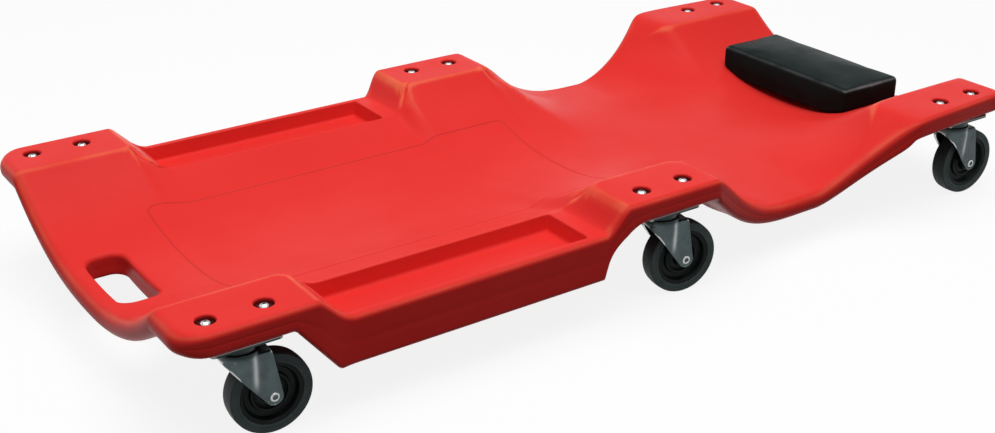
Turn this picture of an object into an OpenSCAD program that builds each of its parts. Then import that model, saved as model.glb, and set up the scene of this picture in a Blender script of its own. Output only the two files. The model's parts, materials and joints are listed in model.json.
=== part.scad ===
// Mechanic creeper: a dished, blow-moulded deck on six swivel casters, with a vinyl headrest.
// The head end is at +X, the user's left side at -Y and the floor at z = 0.

/* [Deck] */
// Overall length of the moulding
deck_l = 1007; // [995:4:1055]
// Overall width across the foot and middle pads
deck_w = 476; // [468:2:500]
// Width across the head pads where they begin
head_w = 486; // [476:2:506]
// Width across the head pads at the head end
head_end_w = 466; // [456:2:486]
// Width across the shoulder cut-outs at their narrowest
waist_w = 428; // [420:2:450]
// Distance between the inner edges of the left and right pads
pad_gap = 342; // [334:2:346]
// Depth of the dish below the pads at the foot end
dish_foot = 56.5; // [46:0.5:60]
// Depth of the dish below the pads at the head end
dish_head = 60; // [50:1:64]
// Exponent of the dish's cross-section, 2 being a parabola
dish_power = 2.35; // [2:0.05:3]
// Thickness of the double-walled deck
deck_t = 24; // [20:0.5:26]
// Thickness of the pads over the casters
pad_t = 22.5; // [20:0.5:25]
// Plan radius of the corners at the foot end
foot_corner_r = 29; // [20:1:32]
// Plan radius of the corners at the head end
head_corner_r = 15; // [10:1:20]
// Round on the upper edge of the pads
edge_r = 8; // [5:0.5:9]
// Round on the lower edge of the pads
under_r = 5; // [3:0.5:6]
// Round on both edges of the shoulder cut-outs
waist_r = 9.5; // [7:0.5:10]

/* [Lengths along the deck] */
// Foot pads, from the foot end to the top of their ramp
foot_pad_l = 125; // [121:1:131]
// Ramp from the foot pads down to the tray rails
foot_ramp_l = 27; // [22:1:32]
// Ramp from the tray rails up to the middle pads
mid_ramp_l = 24; // [20:1:28]
// Middle pads
mid_pad_l = 112; // [109:1:118]
// Shoulder cut-outs between the middle and head pads
shoulder_l = 283; // [272:1:292]
// Head pads
head_pad_l = 157; // [150:1:162]
// Drop of the shoulder edges below the pads
waist_drop = 66; // [52:1:68]

/* [Tool trays] */
// Drop of the tray rails below the pads
rail_drop = 27; // [20:1:30]
// Width across the outer walls of the trays
trays_w = 464; // [456:2:468]
// Width of each tray at its mouth
tray_w = 64; // [50:1:66]
// Width of the rail along the outer side of a tray
rail_w = 10; // [8:1:12]
// Depth of each tray below its rail
tray_depth = 17; // [10:1:22]
// Gap between the middle ramp and the tray
tray_end_gap = 16; // [12:1:22]
// Draft of the tray walls over their depth
tray_draft = 3; // [1:0.5:4]
// Corner radius of the trays
tray_r = 3; // [2:0.5:8]
// Height of the tray box's underside above the floor
skirt_z = 45; // [42:1:48]
// Wall between the tray and the inner side of its box
box_wall = 8; // [6:1:12]
// Run of the sloping end of the tray box at the foot side
box_slope_l = 42; // [38:1:44]
// Distance from the lower end of that slope to the foot end of the trays
box_slope_in = 8; // [4:1:10]
// Run of the arch at the middle caster
arch_l = 48; // [42:1:48]

/* [Handle slot] */
// Length of the slot across the deck
slot_l = 104; // [90:2:110]
// Width of the slot
slot_w = 39; // [32:1:42]
// Corner radius of the slot
slot_r = 14; // [8:1:15]
// Width of the handle bar outside the slot
handle_w = 21; // [19:1:28]
// Flare of the slot's upper mouth
slot_flare = 3; // [2:0.5:6]

/* [Casters] */
// Diameter of the wheels
wheel_d = 76; // [72:1:78]
// Width of the tyres
tyre_w = 18; // [16:0.5:20]
// Radial thickness of the tyres
tyre_t = 9; // [7:0.5:10]
// Distance from the swivel axis back to the axle
trail = 23.5; // [20:0.5:25]
// Height of the pad undersides above the floor
mount_h = 97.5; // [97:0.5:102]
// Distance between the left and right swivel axes
track = 424; // [416:1:428]
// Distance from the foot end to the foot casters
foot_caster_in = 59.5; // [58:0.5:65]
// Distance from the start of the middle pads to the middle casters
mid_caster_in = 58; // [55:1:60]
// Distance from the head end to the head casters
head_caster_in = 62; // [58:1:66]
// Spacing of the two bolts of a caster
bolt_spacing = 52; // [50:1:56]
// Length of the top plate
plate_l = 64; // [64:1:68]
// Width of the top plate
plate_w = 44; // [42:1:46]
// Thickness of the top plate
plate_t = 2.5; // [2:0.1:3]
// Thickness of the fork's steel
fork_t = 2.5; // [2:0.1:3]
// Gap between a wheel's hub and each fork leg
hub_gap = 1; // [0.6:0.1:1.4]
// Diameter of the swivel balls
ball_d = 4; // [3.6:0.1:4.2]
// Number of balls in each swivel
ball_count = 16; // [12:1:16]
// Diameter of the hollow axle rivet
axle_d = 6; // [5.5:0.5:7]
// Diameter of the swivel rivet
kingpin_d = 8; // [7:0.5:9]

/* [Fasteners] */
// Shank diameter of the caster bolts
bolt_d = 6; // [5:0.5:6.5]
// Head diameter of the caster bolts
bolt_head_d = 10; // [9:0.5:11]
// Height of the bolts' domed heads
bolt_head_h = 3.2; // [2.6:0.1:3.6]
// Diameter of the recess round each bolt head
recess_d = 18; // [16:0.5:20]
// Depth of the recess round each bolt head
recess_depth = 5.5; // [4.5:0.5:7]
// Width of the nuts across their flats
nut_af = 10; // [9:0.5:10]
// Height of the nuts
nut_h = 5; // [4:0.5:5]
// Thickness of the washers under the nuts
washer_t = 1.2; // [1:0.1:1.6]

/* [Headrest] */
// Length of the cushion along the deck
rest_l = 90; // [78:1:94]
// Width of the cushion across the deck
rest_w = 206; // [180:2:210]
// Distance from the cushion to the head end
rest_in = 31; // [24:1:36]
// Drop of the cushion's top below the pads
rest_drop = 14; // [8:1:18]
// Crown of the cushion's top
rest_crown = 2.5; // [1:0.5:4]
// Round on the cushion's edges
rest_r = 7; // [4:0.5:9]
// Width of the flat board under the cushion
board_w = 100; // [90:2:110]
// Length of the board along the deck
board_l = 62; // [50:1:66]
// Thickness of the board
board_t = 4; // [3:0.5:6]
// Spacing of the two headrest screws
rest_screw_spacing = 84; // [70:2:96]
// Shank diameter of the headrest screws
rest_screw_d = 4.8; // [4:0.2:5.4]

/* [Resting angles of the casters] */
// Swivel of the foot casters in degrees
foot_turn = -3; // [-180:1:180]
// Swivel of the middle casters in degrees
mid_turn = -8; // [-180:1:180]
// Swivel of the head casters in degrees
head_turn = -4; // [-180:1:180]

/* [Hidden] */

// Colours of the finished pieces
red_plastic = "#e23a34";
black_vinyl = "#24302f";
zinc = "#9aa3a5";
bright_steel = "#cfd4d6";
grey_rubber = "#5b6466";
black_plastic = "#1b2425";
plywood = "#b08d5e";

// One overrun serves all cuts, one small clearance all running fits
cut_over = 2;
run_fit = 0.05;
soft_gap = 0.3;
seat_gap = 0.02;

// Stations along the deck
foot_x = -deck_l / 2;
head_x = deck_l / 2;
foot_ramp_x = foot_x + foot_pad_l;
rail_foot_x = foot_ramp_x + foot_ramp_l;
box_foot_x = rail_foot_x - box_slope_in;
head_pad_x = head_x - head_pad_l;
mid_end_x = head_pad_x - shoulder_l;
mid_pad_x = mid_end_x - mid_pad_l;
rail_head_x = mid_pad_x - mid_ramp_l;
waist_share = 0.59;
waist_x = mid_end_x + waist_share * shoulder_l;
mid_caster_x = mid_pad_x + mid_caster_in;
row_xs = [foot_x + foot_caster_in, mid_caster_x, head_x - head_caster_in];
row_turns = [foot_turn, mid_turn, head_turn];

// Heights above the floor
pad_z = mount_h + pad_t;
rail_z = pad_z - rail_drop;
tray_z = rail_z - tray_depth;

// Tray places: the inner edge of a tray is also where the dish ends beside it
tray_out_y = trays_w / 2 - rail_w;
tray_in_y = tray_out_y - tray_w;
box_in_y = tray_in_y - box_wall;
tray_x0 = rail_foot_x;
tray_x1 = rail_head_x - tray_end_gap;

edge_limit_share = 0.92;

// Powers of the curves that the shoulder edges follow, at the middle and the head side
dip_powers = [1.5, 1.5];
narrow_powers = [2.4, 2.6];
arch_powers = [2, 0.6];
scoop_bow_share = 0.39;
scoop_end_share = 0.75;

// A smooth step from 0 to 1 while v goes from a to b
function ease(v, a, b) = let (t = min(1, max(0, (v - a) / (b - a)))) t * t * (3 - 2 * t);
// The value between a and b at the share t
function mix(a, b, t) = a + (b - a) * t;
// A bowl along the shoulder: 0 at its two ends and 1 at the waist
function bowl(x, p) =
    x <= mid_end_x || x >= head_pad_x ? 0 :
    x < waist_x ? 1 - pow(1 - (x - mid_end_x) / (waist_x - mid_end_x), p[0]) :
    1 - pow(1 - (head_pad_x - x) / (head_pad_x - waist_x), p[1]);

// How much of the rail's drop applies at x
function rail_weight(x) = ease(x, foot_ramp_x, rail_foot_x) - ease(x, rail_head_x, mid_pad_x);
// Half width of the deck without its rounded corners
function plain_half_w(x) =
    x > head_pad_x ? mix(head_w, head_end_w, (x - head_pad_x) / head_pad_l) / 2 :
    x > waist_x ? mix(head_w, waist_w, bowl(x, narrow_powers)) / 2 :
    x > mid_end_x ? mix(deck_w, waist_w, bowl(x, narrow_powers)) / 2 :
    mix(deck_w, trays_w, rail_weight(x)) / 2;
// What a plan corner of radius r takes off the half width at distance d from the end
function corner_cut(d, r) = d >= r ? 0 : r - sqrt(r * r - (r - d) * (r - d));
function half_w(x) =
    plain_half_w(x) - corner_cut(x - foot_x, foot_corner_r) - corner_cut(head_x - x, head_corner_r);
// Height of the middle of the dish
function dish_z(x) = pad_z - mix(dish_foot, dish_head, (x - foot_x) / deck_l);
// Half width at which the dish ends
function flank_y(x) =
    mix(mix(pad_gap / 2, tray_in_y, rail_weight(x)), half_w(x) - waist_r, bowl(x, narrow_powers));
// Height of the pads, rails and shoulder edges; the shoulder starts later near the middle
function plateau_z(x, y) =
    let (s = min(1, 2 * abs(y) / (scoop_end_share * deck_w)), bow = scoop_bow_share * shoulder_l * (1 - s * s))
    let (dip_x = x < waist_x ? max(mid_end_x, mix(x - bow, waist_x, ease(x, mid_end_x, waist_x))) : x)
    pad_z - rail_drop * rail_weight(x) - waist_drop * bowl(dip_x, dip_powers);
// Share of the dish's rise at y
function rise(x, y) = pow(min(1, abs(y) / flank_y(x)), dish_power);
// Upper surface
function top_z(x, y) = mix(dish_z(x), plateau_z(x, y), rise(x, y));
// Underside of the tray boxes: a slope, a flat and an arch, open above everywhere else
function box_run_z(x) =
    x < box_foot_x - box_slope_l || x > rail_head_x + arch_l ? pad_z :
    x < box_foot_x ? mix(mount_h, skirt_z, (x - box_foot_x + box_slope_l) / box_slope_l) :
    x < rail_head_x ? skirt_z :
    mix(skirt_z, mount_h, pow(1 - pow(1 - (x - rail_head_x) / arch_l, arch_powers[0]), arch_powers[1]));
box_lean = 3;
function box_z(x, y) = box_run_z(x) + box_lean * max(0, box_in_y - abs(y));
// Thickness, measured square to the shoulder's slope: that of the deck, the pads and the waist
waist_t = 2 * waist_r / edge_limit_share;
slope_step = 2;
function steep(x, y) =
    let (g = (plateau_z(x + slope_step, y) - plateau_z(x - slope_step, y)) / (2 * slope_step) * rise(x, y))
    let (a = ease(x, mid_end_x - edge_r, mid_end_x + edge_r), b = ease(x, head_pad_x - edge_r, head_pad_x + edge_r))
    sqrt(1 + g * g * a * (1 - b));
function thick(x, y) =
    mix(mix(deck_t, pad_t, rise(x, y)), waist_t, bowl(x, narrow_powers)) * steep(x, y);
// Lower surface
function low_z(x, y) = min(top_z(x, y) - thick(x, y), box_z(x, y));

// Rounds on the edges at x
function top_r(x) = mix(edge_r, waist_r, bowl(x, narrow_powers));
function low_r(x) = mix(under_r, waist_r, bowl(x, narrow_powers));

// Columns of one half of a cross-section: dish, pad and the round of the edge
dish_shares = [0, 0.16, 0.3, 0.42, 0.53, 0.63, 0.72, 0.8, 0.87, 0.935, 0.975, 1];
pad_shares = [0.1, 0.5, 1];
round_angles = [30, 60, 90];
half_cols = concat(
    [for (s = dish_shares) [0, s]],
    [for (s = pad_shares) [1, s]],
    [for (a = round_angles) [2, a]]
);
cols = concat(
    [for (k = [len(half_cols) - 1 : -1 : 1]) [-1, half_cols[k]]],
    [for (k = [0 : len(half_cols) - 1]) [1, half_cols[k]]]
);
// Half a section's place across the deck for a column, with r the edge round
function col_y(x, c, r) =
    c[0] == 0 ? flank_y(x) * c[1] :
    c[0] == 1 ? mix(flank_y(x), half_w(x) - r, c[1]) :
    half_w(x) - r + r * sin(c[1]);
function col_fall(c, r) = c[0] == 2 ? r * (1 - cos(c[1])) : 0;

// The ends are rounded too: h is what the nose takes off each face at distance d from the end
nose_r = deck_t / 2;
nose_shares = [0, 0.2, 0.5, 1];
nose_cut_share = 0.08;
function nose_cut(d) =
    let (e = d + nose_cut_share * nose_r)
    e >= nose_r ? 0 : nose_r - sqrt(nose_r * nose_r - (nose_r - e) * (nose_r - e));
function end_cut(x) = max(nose_cut(x - foot_x), nose_cut(head_x - x));

function top_point(x, side, c) =
    let (r = min(top_r(x), thick(x, half_w(x)) / 2 * edge_limit_share))
    let (y = side * col_y(x, c, r), flat_y = min(abs(y), half_w(x) - r))
    [x, y, top_z(x, flat_y) - max(end_cut(x), min(col_fall(c, r), thick(x, y) * edge_limit_share / 2))];
function low_point(x, side, c) =
    let (r = min(low_r(x), thick(x, half_w(x)) / 2 * edge_limit_share))
    let (y = side * col_y(x, c, r), flat_y = min(abs(y), half_w(x) - r))
    [x, y, low_z(x, flat_y) + max(end_cut(x), min(col_fall(c, r), thick(x, y) * edge_limit_share / 2))];

// Cross-sections along the deck
function between(a, b, shares) = [for (s = shares) mix(a, b, s)];
corner_shares = [0.1, 0.25, 0.5, 0.8, 1];
ramp_low_shares = [0, 0.2, 0.4, 0.7, 1];
arch_shares = [0, 0.03, 0.1, 0.22, 0.37, 0.53, 0.7, 0.85, 1];
shoulder_foot_shares = [0, 0.03, 0.07, 0.13, 0.2, 0.29, 0.4, 0.55, 0.75, 1];
shoulder_head_shares = [0.2, 0.4, 0.55, 0.7, 0.82, 0.91, 0.97, 1];
stations = concat(
    between(foot_x, foot_x + nose_r, nose_shares),
    between(foot_x + nose_r, foot_x + foot_corner_r, corner_shares),
    between(foot_x + foot_corner_r, box_foot_x - box_slope_l, [0.5, 1]),
    between(foot_ramp_x, box_foot_x, ramp_low_shares),
    between(box_foot_x, rail_foot_x, [0.5, 1]),
    between(rail_foot_x, rail_head_x, [0.5]),
    between(rail_head_x, mid_pad_x, arch_shares),
    between(mid_pad_x, rail_head_x + arch_l, [0.3, 0.65, 1]),
    between(rail_head_x + arch_l, mid_end_x - edge_r, [0.5, 1]),
    between(mid_end_x, waist_x, shoulder_foot_shares),
    between(waist_x, head_pad_x, shoulder_head_shares),
    between(head_pad_x, head_x - head_corner_r, [0.06, 0.5, 1]),
    between(head_x - head_corner_r, head_x - nose_r, [0.4, 0.8]),
    between(head_x, head_x - nose_r, [for (k = [len(nose_shares) - 1 : -1 : 0]) nose_shares[k]])
);

module deck_shell() {
    n = len(cols);
    ring = 2 * n;
    last = len(stations) - 1;
    points = [
        for (x = stations)
            for (k = [0 : ring - 1])
                k < n ? top_point(x, cols[k][0], cols[k][1])
                      : low_point(x, cols[ring - 1 - k][0], cols[ring - 1 - k][1])
    ];
    side_faces = [
        for (i = [0 : last - 1])
            for (k = [0 : ring - 1])
                let (a = i * ring + k, b = i * ring + (k + 1) % ring, c = b + ring, d = a + ring)
                    each [[a, b, c], [a, c, d]]
    ];
    end_faces = [
        for (k = [0 : n - 2])
            let (a = k, b = k + 1, c = ring - 2 - k, d = ring - 1 - k, e = last * ring)
                each [[a, c, b], [a, d, c], [e + a, e + b, e + c], [e + a, e + c, e + d]]
    ];
    polyhedron(points, concat(side_faces, end_faces), convexity = 8);
}

// A flat rectangle with round corners, from true arcs
module round_rect(l, w, r) {
    square([l - 2 * r, w], center = true);
    square([l, w - 2 * r], center = true);
    for (sx = [-1, 1], sy = [-1, 1])
        translate([sx * (l / 2 - r), sy * (w / 2 - r)])
            circle(r = r, $fn = 48);
}

// A tray's hollow, wider at its mouth
module tray_cut() {
    l = tray_x1 - tray_x0;
    hull() {
        translate([0, 0, tray_z])
            linear_extrude(seat_gap)
                round_rect(l - 2 * tray_draft, tray_w - 2 * tray_draft, tray_r);
        translate([0, 0, rail_z])
            linear_extrude(cut_over)
                round_rect(l, tray_w, tray_r + tray_draft);
    }
}

slot_x = foot_x + handle_w + slot_w / 2;
slot_mid_z = dish_z(slot_x);
module slot_cut() {
    translate([slot_x, 0, slot_mid_z - deck_t - cut_over])
        linear_extrude(pad_z - slot_mid_z + deck_t)
            round_rect(slot_w, slot_l, slot_r);
    hull() {
        translate([slot_x, 0, slot_mid_z - slot_flare])
            linear_extrude(seat_gap)
                round_rect(slot_w, slot_l, slot_r);
        translate([slot_x, 0, slot_mid_z + cut_over])
            linear_extrude(pad_z - slot_mid_z)
                round_rect(slot_w + 2 * slot_flare, slot_l + 2 * slot_flare, slot_r + slot_flare);
    }
}

// Places things at the two bolts of every caster
module at_bolts() {
    for (x = row_xs, sy = [-1, 1], sx = [-1, 1])
        translate([x + sx * bolt_spacing / 2, sy * track / 2, 0])
            children();
}

bolt_clear = 0.4;
recess_z = pad_z - recess_depth;
// Where the headrest and its screws go
rest_x1 = head_x - rest_in;
rest_x0 = rest_x1 - rest_l;
rest_mid_x = (rest_x0 + rest_x1) / 2;
rest_top_z = pad_z - rest_drop;
board_z = top_z(rest_mid_x, board_w / 2) + soft_gap;
screw_head_r = rest_screw_d;
screw_seat_z = low_z(rest_mid_x, rest_screw_spacing / 2) + edge_r / 4;
screw_clear = 0.3;

module at_rest_screws() {
    for (sy = [-1, 1])
        translate([rest_mid_x, sy * rest_screw_spacing / 2, 0])
            children();
}

module deck() {
    color(red_plastic)
        difference() {
            deck_shell();
            for (sy = [-1, 1])
                translate([(tray_x0 + tray_x1) / 2, sy * (tray_in_y + tray_out_y) / 2, 0])
                    tray_cut();
            slot_cut();
            at_bolts() {
                translate([0, 0, mount_h - cut_over])
                    cylinder(r = bolt_d / 2 + bolt_clear, h = pad_t + 2 * cut_over, $fn = 32);
                translate([0, 0, recess_z])
                    cylinder(d = recess_d, h = recess_depth + cut_over, $fn = 48);
            }
            at_rest_screws() {
                cylinder(r = rest_screw_d / 2 + screw_clear, h = pad_z, $fn = 32);
                cylinder(r = screw_head_r + cut_over, h = screw_seat_z, $fn = 48);
            }
        }
}

// The cushion is lofted across the deck, its section a rounded block that follows the dish below
rest_cols = 20;
rest_side_shares = [0, 0.012, 0.035, 0.07, 0.14, 0.22, 0.3, 0.4, 0.5];
rest_stations = concat(
    [for (s = rest_side_shares) s],
    [for (k = [len(rest_side_shares) - 2 : -1 : 0]) 1 - rest_side_shares[k]]
);
rest_end_share = 0.35;
function rest_round(s) =
    let (d = min(s, 1 - s) * rest_w, e = d + rest_r * (1 - sqrt(1 - rest_end_share * rest_end_share)))
    e >= rest_r ? 0 : rest_r - sqrt(rest_r * rest_r - (rest_r - e) * (rest_r - e));
function rest_low_z(x, y) = max(board_z + board_t + seat_gap, top_z(x, y) + soft_gap);
// One ring of the cushion: x and z on a rounded rectangle, walked from its lower foot corner
function rest_ring(s) =
    let (y = mix(-rest_w / 2, rest_w / 2, s), cut = rest_round(s))
    let (x0 = rest_x0 + cut, x1 = rest_x1 - cut, mid_share = 1 - pow(2 * s - 1, 2))
    let (z1 = rest_top_z + rest_crown * mid_share - cut, r = rest_r * 0.6)
    let (side = [for (t = [0, 0.5, 1]) mix(rest_low_z(x0, y) + cut + r, z1 - rest_r, t)])
    concat(
        [for (t = [0, 0.25, 0.5, 0.75, 1])
            let (x = mix(x0 + r, x1 - r, t)) [x, y, rest_low_z(x, y) + cut]],
        [for (t = [0, 0.5, 1]) [x1, y, mix(rest_low_z(x1, y) + cut + r, z1 - rest_r, t)]],
        [for (a = [30, 60, 90]) [x1 - rest_r + rest_r * cos(a), y, z1 - rest_r + rest_r * sin(a)]],
        [[(x0 + x1) / 2, y, z1 + rest_crown * mid_share / 2]],
        [for (a = [90, 60, 30]) [x0 + rest_r - rest_r * cos(a), y, z1 - rest_r + rest_r * sin(a)]],
        [for (k = [2 : -1 : 0]) [x0, y, side[k]]]
    );

module headrest_cushion() {
    rings = [for (s = rest_stations) rest_ring(s)];
    n = len(rings[0]);
    last = len(rings) - 1;
    color(black_vinyl)
        polyhedron(
            [for (ring = rings) each ring],
            concat(
                [for (i = [0 : last - 1])
                    for (k = [0 : n - 1])
                        let (a = i * n + k, b = i * n + (k + 1) % n)
                            each [[a, b, b + n], [a, b + n, a + n]]],
                [[for (k = [n - 1 : -1 : 0]) k]],
                [[for (k = [0 : n - 1]) last * n + k]]
            ),
            convexity = 4
        );
}

module headrest_board() {
    color(plywood)
        difference() {
            translate([rest_mid_x, 0, board_z])
                linear_extrude(board_t)
                    round_rect(board_l, board_w, edge_r);
            at_rest_screws()
                translate([0, 0, board_z - cut_over])
                    cylinder(r = rest_screw_d / 2 + run_fit, h = screw_tip_z - board_z + cut_over, $fn = 32);
        }
}

screw_tip_share = 0.8;
screw_tip_z = board_z + screw_tip_share * board_t;
screw_head_h = rest_screw_d / 2;
module headrest_screws() {
    color(bright_steel)
        at_rest_screws()
            rotate_extrude($fn = 48)
                    polygon([
                        [0, screw_seat_z - screw_head_h],
                        [screw_head_r * 0.7, screw_seat_z - screw_head_h],
                        [screw_head_r, screw_seat_z - screw_head_h / 3],
                        [screw_head_r, screw_seat_z],
                        [rest_screw_d / 2, screw_seat_z],
                        [rest_screw_d / 2, screw_tip_z],
                        [0, screw_tip_z]
                    ]);
}

// Fasteners of the casters
module caster_bolts() {
    thread_end_z = mount_h - plate_t - washer_t - nut_h - bolt_d / 8;
    dome_shares = [0, 0.25, 0.5, 0.75, 1];
    color(bright_steel)
        at_bolts()
            difference() {
                rotate_extrude($fn = 48)
                    polygon(concat(
                        [[0, thread_end_z], [bolt_d / 2, thread_end_z], [bolt_d / 2, recess_z],
                         [bolt_head_d / 2, recess_z]],
                        [for (s = dome_shares)
                            [bolt_head_d / 2 * cos(80 * s),
                             recess_z + bolt_head_h * (0.25 + 0.75 * sin(80 * s))]],
                        [[0, recess_z + bolt_head_h]]
                    ));
                for (turn = [0, 90])
                    rotate(turn)
                        translate([0, 0, recess_z + bolt_head_h])
                            cube([bolt_d * 0.8, bolt_d / 6, bolt_head_h], center = true);
            }
}

module at_plate_underside() {
    at_bolts()
        translate([0, 0, mount_h - plate_t])
            children();
}

module ring(outer_r, inner_r, h) {
    rotate_extrude($fn = 48)
        translate([inner_r, 0])
            square([outer_r - inner_r, h]);
}

module caster_washers() {
    color(zinc)
        at_plate_underside()
            translate([0, 0, -washer_t])
                ring(bolt_d, bolt_d / 2 + run_fit, washer_t);
}

module caster_nuts() {
    color(zinc)
        at_plate_underside()
            translate([0, 0, -washer_t - nut_h])
                difference() {
                    cylinder(d = nut_af / cos(30), h = nut_h, $fn = 6);
                    translate([0, 0, -cut_over])
                        cylinder(r = bolt_d / 2 + run_fit, h = nut_h + 2 * cut_over, $fn = 32);
                }
}

// Caster: heights from the plate down
plate_low_z = mount_h - plate_t;
race_r = 12;
dome_r = race_r + ball_d;
dome_depth = 10;
dome_lean = 2;
race_z = plate_low_z - dome_depth;
race_seat = 0.6;
crown_top_z = race_z - ball_d + 2 * race_seat;
crown_low_z = crown_top_z - fork_t;
ball_z = race_z - ball_d / 2 + race_seat;
pin_washer_t = 1.5;
kingpin_head_h = 2.6;

// Places a caster's fixed or turning pieces
module at_row(row, side) {
    translate([row_xs[row], side * track / 2, 0])
        children();
}
module at_fork(row, side) {
    at_row(row, side)
        rotate(row_turns[row])
            children();
}

// Top plate: a flat plate with a pressed dome that carries the upper ball race
module caster_plate(row, side) {
    color(zinc)
        at_row(row, side)
            difference() {
                union() {
                    translate([0, 0, plate_low_z])
                        linear_extrude(plate_t)
                            round_rect(plate_l, plate_w, edge_r / 2);
                    rotate_extrude($fn = 64)
                        polygon([
                            [0, race_z], [dome_r, race_z], [dome_r + dome_lean, plate_low_z],
                            [dome_r + dome_lean, plate_low_z + plate_t / 2], [0, plate_low_z + plate_t / 2]
                        ]);
                }
                rotate_extrude($fn = 64)
                    polygon([
                        [0, race_z + plate_t], [dome_r - plate_t, race_z + plate_t],
                        [dome_r - plate_t + dome_lean, mount_h + cut_over], [0, mount_h + cut_over]
                    ]);
                translate([0, 0, race_z - cut_over])
                    cylinder(r = kingpin_d / 2 + run_fit, h = dome_depth + plate_t + 2 * cut_over, $fn = 48);
                rotate_extrude($fn = 64)
                    translate([race_r, ball_z])
                        circle(d = ball_d + 2 * run_fit, $fn = 32);
                for (sx = [-1, 1])
                    translate([sx * bolt_spacing / 2, 0, plate_low_z - cut_over])
                        cylinder(r = bolt_d / 2 + run_fit, h = plate_t + 2 * cut_over, $fn = 32);
            }
}

// Balls between the plate's race and the fork's crown
module swivel_balls(row, side) {
    color(bright_steel)
        at_fork(row, side)
            for (k = [0 : ball_count - 1])
                rotate(k * 360 / ball_count)
                    translate([race_r, 0, ball_z])
                        sphere(d = ball_d, $fn = 24);
}

// Kingpin rivets: head in the plate's dome, shank through the crown, riveted end below a washer
kingpin_end_z = crown_low_z - run_fit - pin_washer_t;
module kingpins() {
    color(bright_steel)
        for (row = [0 : 2], side = [-1, 1])
            at_row(row, side)
                rotate_extrude($fn = 48)
                    polygon([
                        [0, race_z + plate_t + kingpin_head_h],
                        [kingpin_d * 0.6, race_z + plate_t + kingpin_head_h],
                        [kingpin_d * 0.9, race_z + plate_t + kingpin_head_h / 3],
                        [kingpin_d * 0.9, race_z + plate_t],
                        [kingpin_d / 2, race_z + plate_t],
                        [kingpin_d / 2, kingpin_end_z],
                        [kingpin_d * 0.75, kingpin_end_z],
                        [kingpin_d * 0.65, kingpin_end_z - kingpin_d / 4],
                        [0, kingpin_end_z - kingpin_d / 4]
                    ]);
}

module kingpin_washers() {
    color(zinc)
        for (row = [0 : 2], side = [-1, 1])
            at_row(row, side)
                translate([0, 0, kingpin_end_z])
                    ring(kingpin_d * 1.15, kingpin_d / 2 + run_fit, pin_washer_t);
}

// Fork: a crown with a raised rim round the balls, and two legs that taper to the axle
axle_z = wheel_d / 2;
hub_w = tyre_w + 3;
leg_in_y = hub_w / 2 + hub_gap;
leg_out_y = leg_in_y + fork_t;
rim_gap = 1;
crown_r = dome_r + rim_gap + fork_t / 2;
rim_h = 4.5;
leg_end_r = 8;
leg_top_share = 0.1;
leg_front_x = -crown_r;

module fork_leg_outline() {
    top = crown_top_z - axle_z;
    // The front edge runs from the crown down to touch the round end
    dx = leg_front_x - trail;
    far = sqrt(dx * dx + top * top);
    lean = atan2(top, dx) + acos(leg_end_r / far);
    difference() {
        union() {
            circle(r = leg_end_r, $fn = 48);
            polygon([
                [leg_end_r, 0],
                [leg_end_r * leg_top_share, top],
                [dx, top],
                [dx, top - fork_t],
                [leg_end_r * cos(lean), leg_end_r * sin(lean)],
                [0, 0]
            ]);
        }
        circle(r = axle_d / 2 + run_fit, $fn = 48);
    }
}

module caster_fork(row, side) {
    color(zinc)
        at_fork(row, side)
            difference() {
                union() {
                    for (y = [-leg_out_y, leg_in_y])
                        translate([trail, y + fork_t, axle_z])
                            rotate([90, 0, 0])
                                linear_extrude(fork_t)
                                    fork_leg_outline();
                    translate([0, 0, crown_low_z])
                        cylinder(r = crown_r, h = fork_t, $fn = 64);
                    translate([leg_front_x, -leg_in_y - fork_t / 2, crown_low_z])
                        cube([trail + leg_end_r * leg_top_share - leg_front_x, 2 * leg_in_y + fork_t, fork_t]);
                    translate([0, 0, crown_top_z])
                        ring(crown_r, crown_r - fork_t / 2, rim_h);
                }
                translate([0, 0, crown_low_z - cut_over])
                    cylinder(r = kingpin_d / 2 + run_fit, h = fork_t + 2 * cut_over, $fn = 48);
                rotate_extrude($fn = 64)
                    translate([race_r, ball_z])
                        circle(d = ball_d + 2 * run_fit, $fn = 32);
            }
}

// Places wheel pieces: Z becomes the axle, pointing across the fork
module at_axle(row, side) {
    at_fork(row, side)
        translate([trail, 0, axle_z])
            rotate([90, 0, 0])
                children();
}

// Hollow axle rivet with its two rolled ends
module caster_axle(row, side) {
    wall_r = axle_d * 0.4;
    roll_h = 1.2;
    color(bright_steel)
        at_axle(row, side)
            rotate_extrude($fn = 48)
                polygon(concat(
                    [for (s = [-1, 1]) [wall_r, s * (leg_out_y + roll_h)]],
                    [[axle_d * 0.6, leg_out_y + roll_h], [axle_d * 0.72, leg_out_y + roll_h / 2],
                     [axle_d * 0.72, leg_out_y], [axle_d / 2, leg_out_y]],
                    [[axle_d / 2, -leg_out_y], [axle_d * 0.72, -leg_out_y],
                     [axle_d * 0.72, -leg_out_y - roll_h / 2], [axle_d * 0.6, -leg_out_y - roll_h]]
                ));
}

// Bush pressed into the wheel's bore, running on the axle
bush_t = 1.5;
bush_r = axle_d / 2 + run_fit + bush_t;
module wheel_bush(row, side) {
    color(bright_steel)
        at_axle(row, side)
            translate([0, 0, -hub_w / 2])
                ring(bush_r, axle_d / 2 + run_fit, hub_w);
}

// Black wheel core: hub, dished web with a ring, and rim
core_r = wheel_d / 2 - tyre_t;
rim_t = 3.5;
hub_r = 9;
web_t = 5;
web_ring_r = 15;
module wheel_core(row, side) {
    half = tyre_w / 2 - 1;
    color(black_plastic)
        at_axle(row, side)
            rotate_extrude($fn = 96)
                polygon([for (s = [1, -1])
                    each (s > 0 ? core_side(half) : [for (k = [len(core_side(half)) - 1 : -1 : 0])
                        [core_side(half)[k][0], -core_side(half)[k][1]]])
                ]);
}
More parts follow.
